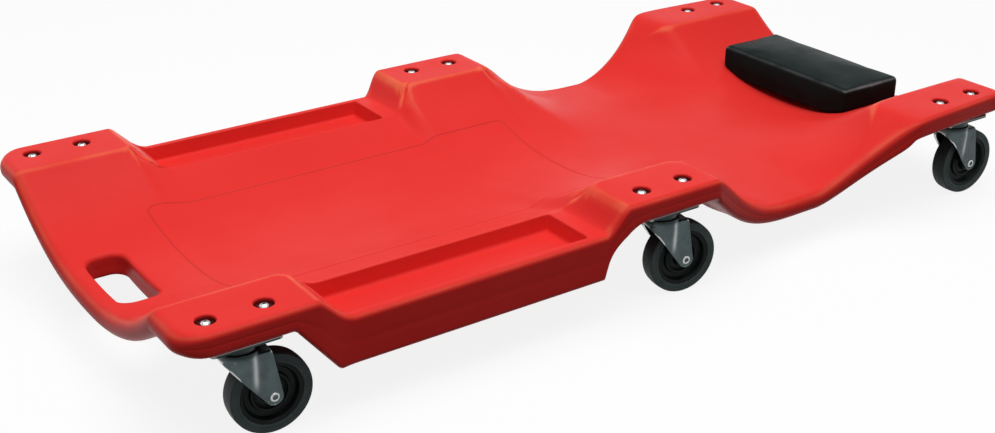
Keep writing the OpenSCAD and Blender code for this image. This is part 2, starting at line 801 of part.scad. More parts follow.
// Half of the core's section, from the bore out to the rim
function core_side(half) = [
    [bush_r, hub_w / 2],
    [hub_r, hub_w / 2],
    [hub_r + 1, web_t],
    [web_ring_r, web_t / 2],
    [web_ring_r + 1, web_t],
    [web_ring_r + 3, web_t],
    [web_ring_r + 4, web_t / 2],
    [core_r - rim_t - 2, web_t / 2],
    [core_r - rim_t, half - 1],
    [core_r - rim_t + 1, half],
    [core_r, half]
];

// Grey tyre with round shoulders
module wheel_tyre(row, side) {
    half = tyre_w / 2;
    shoulder_r = 1.2;
    crown = 0.6;
    color(grey_rubber)
        at_axle(row, side)
            rotate_extrude($fn = 96)
                polygon(concat(
                    [[core_r, -half], [core_r, half]],
                    [for (a = [90, 65, 40, 15])
                        [wheel_d / 2 - crown - shoulder_r + shoulder_r * cos(a),
                         half - shoulder_r + shoulder_r * sin(a)]],
                    [[wheel_d / 2, 0]],
                    [for (a = [15, 40, 65, 90])
                        [wheel_d / 2 - crown - shoulder_r + shoulder_r * cos(a),
                         -half + shoulder_r - shoulder_r * sin(a)]]
                ));
}

deck();
headrest_cushion();
headrest_board();
headrest_screws();
caster_bolts();
caster_washers();
caster_nuts();
kingpins();
kingpin_washers();
caster_plate(0, -1);  // plate_foot_left
caster_plate(0, 1);  // plate_foot_right
caster_plate(1, -1);  // plate_mid_left
caster_plate(1, 1);  // plate_mid_right
caster_plate(2, -1);  // plate_head_left
caster_plate(2, 1);  // plate_head_right
swivel_balls(0, -1);  // balls_foot_left
swivel_balls(0, 1);  // balls_foot_right
swivel_balls(1, -1);  // balls_mid_left
swivel_balls(1, 1);  // balls_mid_right
swivel_balls(2, -1);  // balls_head_left
swivel_balls(2, 1);  // balls_head_right
caster_fork(0, -1);  // fork_foot_left
caster_fork(0, 1);  // fork_foot_right
caster_fork(1, -1);  // fork_mid_left
caster_fork(1, 1);  // fork_mid_right
caster_fork(2, -1);  // fork_head_left
caster_fork(2, 1);  // fork_head_right
caster_axle(0, -1);  // axle_foot_left
caster_axle(0, 1);  // axle_foot_right
caster_axle(1, -1);  // axle_mid_left
caster_axle(1, 1);  // axle_mid_right
caster_axle(2, -1);  // axle_head_left
caster_axle(2, 1);  // axle_head_right
wheel_bush(0, -1);  // bush_foot_left
wheel_bush(0, 1);  // bush_foot_right
wheel_bush(1, -1);  // bush_mid_left
wheel_bush(1, 1);  // bush_mid_right
wheel_bush(2, -1);  // bush_head_left
wheel_bush(2, 1);  // bush_head_right
wheel_core(0, -1);  // core_foot_left
wheel_core(0, 1);  // core_foot_right
wheel_core(1, -1);  // core_mid_left
wheel_core(1, 1);  // core_mid_right
wheel_core(2, -1);  // core_head_left
wheel_core(2, 1);  // core_head_right
wheel_tyre(0, -1);  // tyre_foot_left
wheel_tyre(0, 1);  // tyre_foot_right
wheel_tyre(1, -1);  // tyre_mid_left
wheel_tyre(1, 1);  // tyre_mid_right
wheel_tyre(2, -1);  // tyre_head_left
wheel_tyre(2, 1);  // tyre_head_right
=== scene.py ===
"""Mechanic creeper: a dished, moulded deck on six swivel casters, with a padded vinyl headrest."""

import json
import math
from functools import cache

import bmesh
import bpy
import numpy as np
from bpy.props import FloatProperty, FloatVectorProperty, IntProperty, PointerProperty
from mathutils import Matrix, Vector
from mathutils.kdtree import KDTree


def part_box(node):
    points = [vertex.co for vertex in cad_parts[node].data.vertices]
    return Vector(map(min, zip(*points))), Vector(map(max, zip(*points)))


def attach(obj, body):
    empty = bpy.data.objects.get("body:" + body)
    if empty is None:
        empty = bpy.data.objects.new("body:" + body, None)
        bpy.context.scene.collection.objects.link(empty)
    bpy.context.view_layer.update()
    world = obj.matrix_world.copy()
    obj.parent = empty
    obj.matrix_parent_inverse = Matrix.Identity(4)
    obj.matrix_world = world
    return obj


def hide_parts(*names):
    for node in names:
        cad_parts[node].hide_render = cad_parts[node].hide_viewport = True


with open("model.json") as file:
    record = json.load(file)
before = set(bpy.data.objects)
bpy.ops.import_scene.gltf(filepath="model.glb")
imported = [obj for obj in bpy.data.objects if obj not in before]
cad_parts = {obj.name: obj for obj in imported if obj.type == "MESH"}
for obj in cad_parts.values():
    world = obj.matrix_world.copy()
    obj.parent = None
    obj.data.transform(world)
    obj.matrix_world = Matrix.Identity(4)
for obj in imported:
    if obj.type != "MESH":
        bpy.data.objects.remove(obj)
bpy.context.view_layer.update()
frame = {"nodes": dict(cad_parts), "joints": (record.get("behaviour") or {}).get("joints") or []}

bl_info = {
    "name": "Mechanic creeper",
    "version": (1, 0, 0),
    "blender": (4, 5, 0),
    "location": "View3D > Sidebar > Creeper",
    "description": "Builds a dished creeper deck on six swivel casters with a padded headrest",
    "category": "Object",
}

MM = 0.001
JOINTS = {joint["name"]: joint for joint in frame["joints"]}
CASTERS = [f"{row}_{side}" for row in ("foot", "mid", "head") for side in ("left", "right")]
SWIVELS = {name: JOINTS[f"{name}_swivel"]["pos_m"] for name in CASTERS}


def length(name, mm, words):
    """A length in millimetres as a property in metres."""
    return FloatProperty(name=name, description=words, default=mm * MM, precision=5, unit="LENGTH")


def share(name, value, words):
    return FloatProperty(name=name, description=words, default=value, min=0.0, precision=3)


def colour(name, rgb, words):
    return FloatVectorProperty(
        name=name, description=words, default=(*rgb, 1.0), size=4, min=0.0, max=1.0, subtype="COLOR"
    )


class CreeperDeckSettings(bpy.types.PropertyGroup):
    """Sizes and colour of the moulded deck."""

    deck_l: length("Length", 1007, "Overall length of the moulding")
    deck_w: length("Width", 476, "Width across the foot and middle pads")
    head_w: length("Head width", 486, "Width across the head pads where they begin")
    head_end_w: length("Head end width", 466, "Width across the head pads at the head end")
    waist_w: length("Waist", 428, "Width across the shoulder cut-outs")
    pad_gap: length("Pad gap", 342, "Distance between the inner edges of the pads")
    dish_foot: length("Foot dish", 56.5, "Depth of the dish at the foot end")
    dish_head: length("Head dish", 60, "Depth of the dish at the head end")
    dish_power: share("Dish power", 2.35, "Exponent of the dish's cross-section")
    deck_t: length("Deck thickness", 24, "Thickness of the double-walled deck")
    pad_t: length("Pad thickness", 22.5, "Thickness of the pads over the casters")
    foot_corner_r: length("Foot corners", 29, "Plan radius of the corners at the foot end")
    head_corner_r: length("Head corners", 15, "Plan radius of the corners at the head end")
    edge_r: length("Upper round", 5.5, "Round on the upper edge of the pads")
    under_r: length("Lower round", 6, "Round on the lower edge of the pads")
    waist_r: length("Waist round", 9.5, "Round on the edges of the shoulder cut-outs")
    foot_pad_l: length("Foot pads", 125, "From the foot end to the foot ramp")
    foot_ramp_l: length("Foot ramp", 27, "Ramp from the foot pads down to the rails")
    mid_ramp_l: length("Middle ramp", 24, "Ramp from the rails up to the middle pads")
    mid_pad_l: length("Middle pads", 112, "Length of the middle pads")
    shoulder_l: length("Shoulders", 283, "Cut-outs between the middle and head pads")
    head_pad_l: length("Head pads", 157, "Length of the head pads")
    waist_drop: length("Waist drop", 66, "Drop of the shoulder edges below the pads")
    rail_drop: length("Rail drop", 27, "Drop of the rails below the pads")
    trays_w: length("Width across trays", 464, "Width across the outer walls of the trays")
    tray_w: length("Tray width", 64, "Width of each tray at its mouth")
    rail_w: length("Rail width", 10, "Width of the rail beside a tray")
    tray_depth: length("Tray depth", 17, "Depth of each tray below its rail")
    tray_end_gap: length("Tray end gap", 16, "Gap between the middle ramp and the tray")
    tray_draft: length("Tray draft", 3, "Draft of the tray walls over their depth")
    tray_r: length("Tray corners", 3, "Corner radius of the trays")
    skirt_z: length("Box height", 45, "Height of the tray box's underside")
    box_wall: length("Box wall", 8, "Wall between the tray and its box")
    box_slope_l: length("Box slope", 42, "Run of the box's sloping end")
    box_slope_in: length("Box slope inset", 8, "From the lower end of that slope to the trays' foot end")
    arch_l: length("Box arch", 46, "Run of the arch at the middle caster")
    slot_l: length("Slot length", 104, "Length of the handle slot")
    slot_w: length("Slot width", 39, "Width of the handle slot")
    slot_r: length("Slot corners", 14, "Corner radius of the handle slot")
    handle_w: length("Handle", 21, "Width of the handle bar outside the slot")
    mount_h: length("Pad underside", 97.5, "Height of the pad undersides above the floor")
    recess_d: length("Recess", 18, "Diameter of the recess round each bolt head")
    recess_depth: length("Recess depth", 5.5, "Depth of the recess round each bolt head")
    bolt_spacing: length("Bolt spacing", 52, "Spacing of the two bolts of a caster")
    crease: length("Crease", 3, "Softness of the creases round the foot and middle pads")
    head_crease: length("Head crease", 8, "Softness of the creases round the head pads")
    pad_corner_r: length("Pad corners", 11, "Plan radius of the pads' inner corners")
    slot_round: length("Slot rim", 4.5, "Round on the slot's upper rim")
    recess_round: length("Recess rim", 1.6, "Round on the recess rims")
    tray_round: length("Tray rim", 1.3, "Round on the tray rims")
    tray_fillet: length("Tray fillet", 4, "Fillet at the tray floor")
    seam: length("Parting line", 0.35, "Depth of the parting line round the edge")
    panel_foot_x: length("Panel foot end", -396, "Where the bordered panel in the dish begins")
    panel_head_x: length("Panel head end", 38, "Where the bordered panel in the dish ends")
    panel_w: length("Panel width", 208, "Width of the bordered panel")
    panel_depth: length("Panel border", 0.7, "Depth of the fine groove round the panel")
    plastic: colour("Plastic", (0.79, 0.034, 0.029), "Colour of the moulded plastic")
    # Also the colour of the painted highlight along the deck's creases and upper edges.
    scuff_and_highlight: colour("Scuffed plastic", (0.9, 0.2, 0.09), "Colour of the plastic where it is worn")


class CreeperCasterSettings(bpy.types.PropertyGroup):
    """Sizes and colours of the casters."""

    wheel_d: length("Wheel", 76, "Diameter of the wheels")
    tyre_w: length("Tyre width", 18, "Width of the tyres")
    tyre_t: length("Tyre thickness", 9, "Radial thickness of the tyres")
    trail: length("Trail", 23.5, "Distance from the swivel axis back to the axle")
    plate_t: length("Plate", 2.5, "Thickness of the top plate")
    fork_t: length("Fork steel", 2.5, "Thickness of the fork's steel")
    hub_gap: length("Hub gap", 1, "Gap between a hub and each fork leg")
    ball_d: length("Balls", 4, "Diameter of the swivel balls")
    axle_d: length("Axle", 6, "Diameter of the hollow axle rivet")
    kingpin_d: length("Kingpin", 8, "Diameter of the swivel rivet")
    dome_depth: length("Dome", 10, "Depth of the dome pressed in the top plate")
    zinc: colour("Zinc", (0.075, 0.095, 0.097), "Colour of the plated pressings")
    rubber: colour("Rubber", (0.066, 0.086, 0.086), "Colour of the tyres")
    core: colour("Core", (0.003, 0.0055, 0.005), "Colour of the wheel cores")
    rivet: colour("Rivet", (0.5, 0.51, 0.52), "Colour of the bright fasteners")


class CreeperFastenerSettings(bpy.types.PropertyGroup):
    """Sizes of the screws that hold the casters."""

    bolt_d: length("Shank", 6, "Shank diameter of the bolts")
    head_d: length("Head", 10, "Diameter of the domed heads")
    head_h: length("Head height", 4.6, "Height of the domed heads")
    nut_af: length("Nut", 10, "Width of the nuts across their flats")
    nut_h: length("Nut height", 5, "Height of the nuts")
    washer_t: length("Washer", 1.2, "Thickness of the washers")
    turn: FloatProperty(
        name="Turn", description="Largest turn of a fastener", default=math.radians(80), subtype="ANGLE"
    )
    seed: IntProperty(name="Seed", description="Seed of the fasteners' turns", default=7)


class CreeperHeadrestSettings(bpy.types.PropertyGroup):
    """Sizes and colours of the headrest."""

    rest_l: length("Length", 90, "Length of the cushion along the deck")
    rest_w: length("Width", 206, "Width of the cushion across the deck")
    rest_in: length("Inset", 31, "Distance from the cushion to the head end")
    rest_drop: length("Drop", 14, "Drop of the cushion's top below the pads")
    crown: length("Crown", 2.5, "Crown of the cushion's top")
    rest_r: length("Round", 6, "Round on the cushion's upper edges")
    corner_r: length("Corner", 3, "Radius of the cushion's upright corners")
    seam: length("Seam", 0.5, "Depth of the seams at the upright corners")
    fullness: length("Fullness", 2.2, "Furthest that the filling pushes the cover out")
    board_z: length("Board", 67.9, "Height of the board's upper face")
    vinyl: colour("Vinyl", (0.005, 0.0095, 0.0095), "Colour of the vinyl cover")
    board: colour("Board", (0.42, 0.27, 0.14), "Colour of the board")


class CreeperStageSettings(bpy.types.PropertyGroup):
    """Floor, light and camera."""

    floor: colour("Floor", (0.95, 0.95, 0.95), "Colour of the floor")
    shadow: share("Shadow", 0.13, "How strongly the floor shows the shadow")
    bounce: share("Bounce", 0.15, "Share of the light that the floor throws back up")
    lens: FloatProperty(name="Lens", description="Focal length in millimetres", default=52.37)
    sky: share("Sky", 0.1, "Strength of the even light from all round")
    overhead: FloatProperty(
        name="Overhead", description="Power of the large overhead light", default=70, unit="POWER"
    )
    edge_light: FloatProperty(
        name="Edge light", description="Power of the light beyond the far side", default=5, unit="POWER"
    )


# Small helpers


def ease(v, a, b):
    """A smooth step from 0 to 1 while v goes from a to b."""
    t = np.clip((v - a) / (b - a), 0, 1)
    return t * t * (3 - 2 * t)


def mix(a, b, t):
    return a + (b - a) * t


def soft_min(a, b, k):
    h = np.clip(0.5 + 0.5 * (b - a) / k, 0, 1)
    return mix(b, a, h) - k * h * (1 - h)


def soft_share(t, k):
    """t without its kink at 0, and never above 1."""
    return np.minimum((t + np.sqrt(t * t + k * k)) / 2, 1)


def quarter(steps):
    """Pairs (sine, cosine) from 0 to 90 degrees."""
    return [(math.sin(a), math.cos(a)) for a in np.linspace(0, math.pi / 2, steps + 1)]


class Shell:
    """Points and faces of a mesh while it is being built."""

    def __init__(self):
        self.points = []
        self.faces = []

    def add(self, points):
        start = len(self.points)
        self.points.extend(tuple(map(float, p)) for p in points)
        return list(range(start, len(self.points)))

    def strip(self, a, b, closed=True):
        last = len(a) if closed else len(a) - 1
        for j in range(last):
            n = (j + 1) % len(a)
            self.faces.append((a[j], a[n], b[n], b[j]))

    def mesh(self, name):
        mesh = bpy.data.meshes.new(name)
        mesh.from_pydata(self.points, [], self.faces)
        tidy_mesh(mesh)
        return mesh


def tidy_mesh(mesh):
    """Merges doubles and turns all faces outwards."""
    bm = bmesh.new()
    bm.from_mesh(mesh)
    bmesh.ops.remove_doubles(bm, verts=bm.verts, dist=1e-6)
    bmesh.ops.dissolve_degenerate(bm, edges=bm.edges, dist=1e-7)
    bmesh.ops.recalc_face_normals(bm, faces=bm.faces)
    bm.to_mesh(mesh)
    bm.free()
    smooth(mesh)
    mesh.update()


def smooth(mesh):
    mesh.polygons.foreach_set("use_smooth", [True] * len(mesh.polygons))


def joined(name, meshes):
    """One mesh made of several."""
    bm = bmesh.new()
    for mesh in meshes:
        bm.from_mesh(mesh)
        bpy.data.meshes.remove(mesh)
    whole = bpy.data.meshes.new(name)
    bm.to_mesh(whole)
    bm.free()
    smooth(whole)
    return whole


def mark(mesh, name, values):
    """Gives every vertex a value that the materials read by name."""
    mesh.attributes.new(name, "FLOAT", "POINT").data.foreach_set("value", values)


def coat(mesh, slot):
    """Gives a mesh the finish of one slot and no other."""
    mesh.materials.clear()
    mesh.materials.append(finish(slot))


def new_object(name, data, slot=None):
    """An object in the scene for a mesh, a light or a camera."""
    obj = bpy.data.objects.new(name, data)
    bpy.context.scene.collection.objects.link(obj)
    if slot:
        coat(data, slot)
    return obj


def modify(obj, kind, **settings):
    """Adds a modifier of this kind, which settle() applies later."""
    modifier = obj.modifiers.new(kind.title(), kind)
    for key, value in settings.items():
        setattr(modifier, key, value)
    return modifier


def settle(obj):
    """Applies an object's modifiers and leaves a plain mesh."""
    depsgraph = bpy.context.evaluated_depsgraph_get()
    mesh = bpy.data.meshes.new_from_object(obj.evaluated_get(depsgraph))
    obj.modifiers.clear()
    old = obj.data
    obj.data = mesh
    if old.users == 0:
        bpy.data.meshes.remove(old)
    mesh.name = obj.name


def taken(obj):
    """The settled mesh of an object that is removed."""
    settle(obj)
    mesh = obj.data
    bpy.data.objects.remove(obj)
    return mesh


def even_normals(obj):
    """Keeps broad faces flat in shading beside their small rounds."""
    modify(obj, "WEIGHTED_NORMAL", keep_sharp=True)
    settle(obj)


def mirrored(side):
    """A section of which the first half is given."""
    return side + [(x, -y) for x, y in side[::-1]]


def filleted(corners, radius, steps=4, closed=True):
    """A section with its corners rounded."""
    nearly_straight = math.radians(86)
    most_of_side = 0.45
    corners = [Vector(c) for c in corners]
    count = len(corners)
    out = []
    for i, corner in enumerate(corners):
        before, after = corners[i - 1] - corner, corners[(i + 1) % count] - corner
        half = before.angle(after, math.pi) / 2
        if half > nearly_straight or (not closed and i in (0, count - 1)):
            out.append(tuple(corner))
            continue
        reach = min(radius / math.tan(half), before.length * most_of_side, after.length * most_of_side)
        r = reach * math.tan(half)
        a, b = corner + before.normalized() * reach, corner + after.normalized() * reach
        centre = corner + (before.normalized() + after.normalized()).normalized() * (r / math.sin(half))
        for k in range(steps + 1):
            way = (a - centre).lerp(b - centre, k / steps)
            out.append(tuple(centre + way.normalized() * r))
    return out


def turned(section, steps, closed=True):
    """A section (radius, height) turned about the axis; an open one starts and ends on the axis."""
    shell = Shell()
    rings = []
    for radius, height in section:
        if radius < 1e-7:
            rings.append(shell.add([(0, 0, height)]))
            continue
        rings.append(shell.add(
            (radius * math.cos(a), radius * math.sin(a), height)
            for a in np.linspace(0, math.tau, steps, endpoint=False)
        ))
    for i in range(len(rings) if closed else len(rings) - 1):
        a, b = rings[i], rings[(i + 1) % len(rings)]
        if len(a) == 1 or len(b) == 1:
            pole, ring = (a[0], b) if len(a) == 1 else (b[0], a)
            shell.faces.extend((pole, ring[j], ring[(j + 1) % len(ring)]) for j in range(len(ring)))
        else:
            shell.strip(a, b)
    return shell.mesh("turned")


# Places on the casters, read from the frame


def swivel_place(name):
    """The frame of a caster at its swivel axis on the floor, turned with the fork."""
    x, y, _ = SWIVELS[name]
    axis = Vector(JOINTS[f"{name}_roll"]["axis"])
    return Matrix.Translation((x, y, 0)) @ Matrix.Rotation(math.atan2(-axis.x, axis.y), 4, "Z")


def axle_place(name, trail):
    """The frame of a wheel with Z along its axle."""
    height = JOINTS[f"{name}_roll"]["pos_m"][2]
    upright = Matrix.Rotation(math.pi / 2, 4, "X")
    return swivel_place(name) @ Matrix.Translation((trail, 0, height)) @ upright


def bolt_places(spacing):
    """Plan places of the twelve bolts, two for each caster."""
    return [(x + along * spacing / 2, y) for x, y, _ in SWIVELS.values() for along in (-1, 1)]


# Materials


class Nodes:
    """Short ways to add and link nodes in one tree."""

    def __init__(self, tree):
        self.tree = tree

    def add(self, kind, inputs=None, **settings):
        """A new node, with values or links for its inputs."""
        node = self.tree.nodes.new(kind)
        for key, value in settings.items():
            setattr(node, key, value)
        for socket, value in (inputs or {}).items():
            self.feed(node, socket, value)
        return node

    def feed(self, node, socket, value):
        if isinstance(value, bpy.types.NodeSocket):
            self.tree.links.new(value, node.inputs[socket])
        else:
            node.inputs[socket].default_value = value

    def noise(self, vector, scale, detail, roughness=0.5):
        inputs = {"Vector": vector, "Scale": scale, "Detail": detail, "Roughness": roughness}
        return self.add("ShaderNodeTexNoise", inputs).outputs["Fac"]

    def ramp(self, value, low, high, to_low=0.0, to_high=1.0):
        inputs = {"Value": value, "From Min": low, "From Max": high, "To Min": to_low, "To Max": to_high}
        return self.add("ShaderNodeMapRange", inputs, interpolation_type="SMOOTHSTEP").outputs["Result"]

    def math(self, operation, a, b):
        return self.add("ShaderNodeMath", {0: a, 1: b}, operation=operation).outputs["Value"]

    def times(self, a, b):
        return self.math("MULTIPLY", a, b)

    def blend(self, factor, a, b):
        return self.add("ShaderNodeMix", {"Factor": factor, 6: a, 7: b}, data_type="RGBA").outputs[2]

    def group(self, tree, **values):
        node = self.add("ShaderNodeGroup", node_tree=tree)
        for key, value in values.items():
            self.feed(node, key.replace("_", " "), value)
        return node.outputs

    def marked(self, name):
        """A value that the mesh carries under this name."""
        return self.add("ShaderNodeAttribute", attribute_name=name).outputs["Fac"]


def cleared(block):
    """The emptied node tree of a material or a world."""
    block.use_nodes = True
    block.node_tree.nodes.clear()
    return block.node_tree


def shader_group(name, values, outputs):
    """An empty group with a vector, named values and named outputs: (nodes, inputs, output node)."""
    tree = bpy.data.node_groups.new(name, "ShaderNodeTree")
    tree.interface.new_socket("Vector", in_out="INPUT", socket_type="NodeSocketVector")
    for label, default in values.items():
        socket = tree.interface.new_socket(label, in_out="INPUT", socket_type="NodeSocketFloat")
        socket.default_value = default
    for label in outputs:
        tree.interface.new_socket(label, in_out="OUTPUT", socket_type="NodeSocketFloat")
    n = Nodes(tree)
    return n, n.add("NodeGroupInput").outputs, n.add("NodeGroupOutput")


@cache
def grain_group():
    """Fine moulded or cast grain, with broad patches where it is duller."""
    n, given, end = shader_group("Fine grain", {"Grain": 900.0, "Patches": 14.0}, ("Height", "Patch"))
    fine_part, coarse_part, coarse_scale = 0.65, 0.35, 0.23
    fine = n.noise(given["Vector"], given["Grain"], 2.0)
    coarse = n.noise(given["Vector"], n.times(given["Grain"], coarse_scale), 1.0)
    n.feed(end, "Height", n.math("ADD", n.times(fine, fine_part), n.times(coarse, coarse_part)))
    n.feed(end, "Patch", n.ramp(n.noise(given["Vector"], given["Patches"], 4.0, 0.6), 0.3, 0.7))
    return n.tree


@cache
def wear_group():
    """Raised edges (Crest), and their wear broken up by noise with fine stray scratches (Mask)."""
    values = {"Edge": 0.53, "Break up": 60.0, "Scratches": 0.3}
    n, given, end = shader_group("Handling wear", values, ("Mask", "Crest"))
    edge_span = 0.06
    streak_scale = (40.0, 900.0, 300.0)
    pointed = n.add("ShaderNodeNewGeometry").outputs["Pointiness"]
    raised = n.ramp(pointed, given["Edge"], n.math("ADD", given["Edge"], edge_span))
    broken = n.ramp(n.noise(given["Vector"], given["Break up"], 5.0, 0.7), 0.42, 0.7)
    along = n.add("ShaderNodeMapping", {"Vector": given["Vector"], "Scale": streak_scale}).outputs["Vector"]
    lines = n.times(n.ramp(n.noise(along, 1.0, 3.0, 0.65), 0.66, 0.74), given["Scratches"])
    n.feed(end, "Mask", n.math("MAXIMUM", n.times(raised, broken), lines))
    n.feed(end, "Crest", raised)
    return n.tree


def shade(rgba, factor):
    return tuple(c * factor for c in rgba[:3]) + (1.0,)


class Coat(Nodes):
    """A material in the making: its grain, and patches where its colour and gloss change a little."""

    def __init__(self, name, grain, patches):
        self.material = bpy.data.materials.new(name)
        super().__init__(cleared(self.material))
        self.shader = self.add("ShaderNodeBsdfPrincipled")
        self.add("ShaderNodeOutputMaterial", {"Surface": self.shader.outputs["BSDF"]})
        self.place = self.add("ShaderNodeTexCoord").outputs["Object"]
        surface = self.group(grain_group(), Vector=self.place, Grain=grain, Patches=patches)
        self.height, self.patch = surface["Height"], surface["Patch"]

    def wear(self, edge, break_up, scratches):
        values = {"Edge": edge, "Break_up": break_up, "Scratches": scratches}
        return self.group(wear_group(), Vector=self.place, **values)

    def done(self, tint, rough, bump, height=None, **even):
        """Feeds the shader: rough is a value or a (patch, plain) pair, bump is (distance, strength)."""
        if isinstance(rough, tuple):
            rough = self.ramp(self.patch, 0.0, 1.0, *rough)
        height = self.height if height is None else height
        relief = {"Height": height, "Distance": bump[0], "Strength": bump[1]}
        self.feed(self.shader, "Base Color", tint)
        self.feed(self.shader, "Roughness", rough)
        self.feed(self.shader, "Normal", self.add("ShaderNodeBump", relief).outputs["Normal"])
        for socket, value in even.items():
            self.feed(self.shader, socket.replace("_", " "), value)
        return self.material


# Zinc for edge wear and for the painted highlights on the forks.
ZINC_WEAR_AND_HIGHLIGHT = (0.62, 0.64, 0.63, 1.0)
SHADED_ZINC = (0.012, 0.016, 0.016, 1.0)
# Painted shade for the bolt recesses and the panel's border groove.
PAINTED_SHADE_PLASTIC = (0.09, 0.008, 0.008, 1.0)
# Colour of the painted highlight on the cushion's upper edges.
PAINTED_VINYL_HIGHLIGHT = (0.19, 0.2, 0.2, 1.0)


def red_plastic(settings):
    n = Coat("Red moulded plastic", grain=1300.0, patches=9.0)
    worn = n.wear(edge=0.515, break_up=45.0, scratches=0.05)["Mask"]
    base = tuple(settings.plastic)
    tint = n.blend(n.patch, (base[0] * 0.97, base[1] * 0.9, base[2] * 0.9, 1.0), base)
    broken = n.ramp(n.noise(n.place, 18.0, 3.0, 0.6), 0.2, 0.7, 0.15, 0.65)
    # Pale: edge wear, and a painted highlight along the creases and the upper edges.
    pale = n.math("MAXIMUM", n.times(worn, 0.3), n.times(n.marked("crest"), broken))
    tint = n.blend(pale, tint, tuple(settings.scuff_and_highlight))
    # Painted shade in the bolt recesses and the panel's border groove.
    tint = n.blend(n.marked("sunk"), tint, PAINTED_SHADE_PLASTIC)
    rough = n.math("ADD", n.ramp(n.patch, 0.0, 1.0, 0.44, 0.36), n.times(worn, 0.15))
    return n.done(tint, rough, (0.00012, 0.5), Specular_IOR_Level=0.06)


# Its last argument below 1 makes a copy with painted shade: darker, and with fainter edge highlights.
def zinc_steel(settings, name="Zinc plated steel", lit_share=1.0):
    n = Coat(name, grain=700.0, patches=70.0)
    edges = n.wear(edge=0.53, break_up=160.0, scratches=0.2)
    base = shade(settings.zinc, lit_share)
    tint = n.blend(n.patch, shade(base, 0.75), base)
    # The mark "bend" paints a highlight streak down the legs where it is positive, and paints shade on the
    # rim where it is negative.
    bend = n.marked("bend")
    tint = n.blend(n.times(n.math("MAXIMUM", bend, 0.0), 0.5), tint, ZINC_WEAR_AND_HIGHLIGHT)
    tint = n.blend(n.math("MAXIMUM", n.times(bend, -1.0), 0.0), tint, SHADED_ZINC)
    # Edge wear, and a painted highlight along every raised edge.
    pale = n.times(n.math("MAXIMUM", edges["Mask"], n.times(edges["Crest"], 0.7)), lit_share)
    tint = n.blend(pale, tint, ZINC_WEAR_AND_HIGHLIGHT)
    return n.done(tint, (0.42, 0.27), (0.00006, 0.4), Metallic=1.0)


# A copy of the zinc with painted shade, for the plates in the shade under the deck.
def dark_zinc(settings):
    return zinc_steel(settings, "Dark plated steel", 0.4)


def bright_steel(settings):
    n = Coat("Bright plated steel", grain=1500.0, patches=200.0)
    base = tuple(settings.rivet)
    return n.done(n.blend(n.patch, shade(base, 0.8), base), (0.28, 0.17), (0.00003, 0.35), Metallic=1.0)


def grey_rubber(settings):
    n = Coat("Grey rubber", grain=1100.0, patches=45.0)
    worn = n.wear(edge=0.52, break_up=220.0, scratches=0.1)["Mask"]
    base = tuple(settings.rubber)
    tint = n.blend(n.patch, shade(base, 0.82), base)
    tint = n.blend(n.times(n.marked("tread"), 0.6), tint, shade(base, 0.3))
    tint = n.blend(n.times(worn, 0.5), tint, shade(base, 1.5))
    return n.done(tint, (0.68, 0.55), (0.00015, 0.6), Specular_IOR_Level=0.2)


def black_plastic(settings):
    n = Coat("Black moulded plastic", grain=1400.0, patches=60.0)
    base = tuple(settings.core)
    tint = n.blend(n.patch, base, shade(base, 1.6))
    return n.done(tint, (0.45, 0.33), (0.00008, 0.5), Specular_IOR_Level=0.1)


def black_vinyl(settings):
    n = Coat("Black vinyl", grain=900.0, patches=25.0)
    cells = n.add("ShaderNodeTexVoronoi", {"Vector": n.place, "Scale": 620.0}, feature="DISTANCE_TO_EDGE")
    pebbles = n.ramp(cells.outputs["Distance"], 0.0, 0.22)
    base = tuple(settings.vinyl)
    broken = n.ramp(n.noise(n.place, 30.0, 3.0, 0.6), 0.25, 0.7, 0.3, 1.0)
    tint = n.blend(n.patch, base, shade(base, 1.5))
    # A painted highlight on the cushion's upper edges, broken up by noise.
    tint = n.blend(n.times(n.marked("rubbed"), broken), tint, PAINTED_VINYL_HIGHLIGHT)
    height = n.math("ADD", n.times(pebbles, 0.7), n.times(n.height, 0.3))
    return n.done(tint, (0.42, 0.34), (0.00012, 0.4), height, Specular_IOR_Level=0.03)


def plywood(settings):
    n = Coat("Plywood", grain=600.0, patches=30.0)
    inputs = {"Vector": n.place, "Scale": 90.0, "Distortion": 6.0, "Detail": 3.0}
    wave = n.add("ShaderNodeTexWave", inputs, wave_type="BANDS", bands_direction="Y").outputs["Fac"]
    base = tuple(settings.board)
    tint = n.blend(n.times(wave, n.patch), base, shade(base, 0.6))
    return n.done(tint, 0.75, (0.0001, 0.5), wave)


FINISHES = {
    "red_plastic": (red_plastic, "creeper_deck"),
    "zinc_steel": (zinc_steel, "creeper_casters"),
    "dark_zinc": (dark_zinc, "creeper_casters"),
    "bright_steel": (bright_steel, "creeper_casters"),
    "grey_rubber": (grey_rubber, "creeper_casters"),
    "black_plastic": (black_plastic, "creeper_casters"),
    "black_vinyl": (black_vinyl, "creeper_headrest"),
    "plywood": (plywood, "creeper_headrest"),
}


@cache
def finish(slot):
    """The material of one of the record's slots, built once."""
    build, settings = FINISHES[slot]
    return build(getattr(bpy.context.scene, settings))


def placed(obj, body, node):
    """Hangs a finished piece on its body's empty and hides the CAD part that it stands for."""
    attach(obj, body)
    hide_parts(node)


# The moulded deck


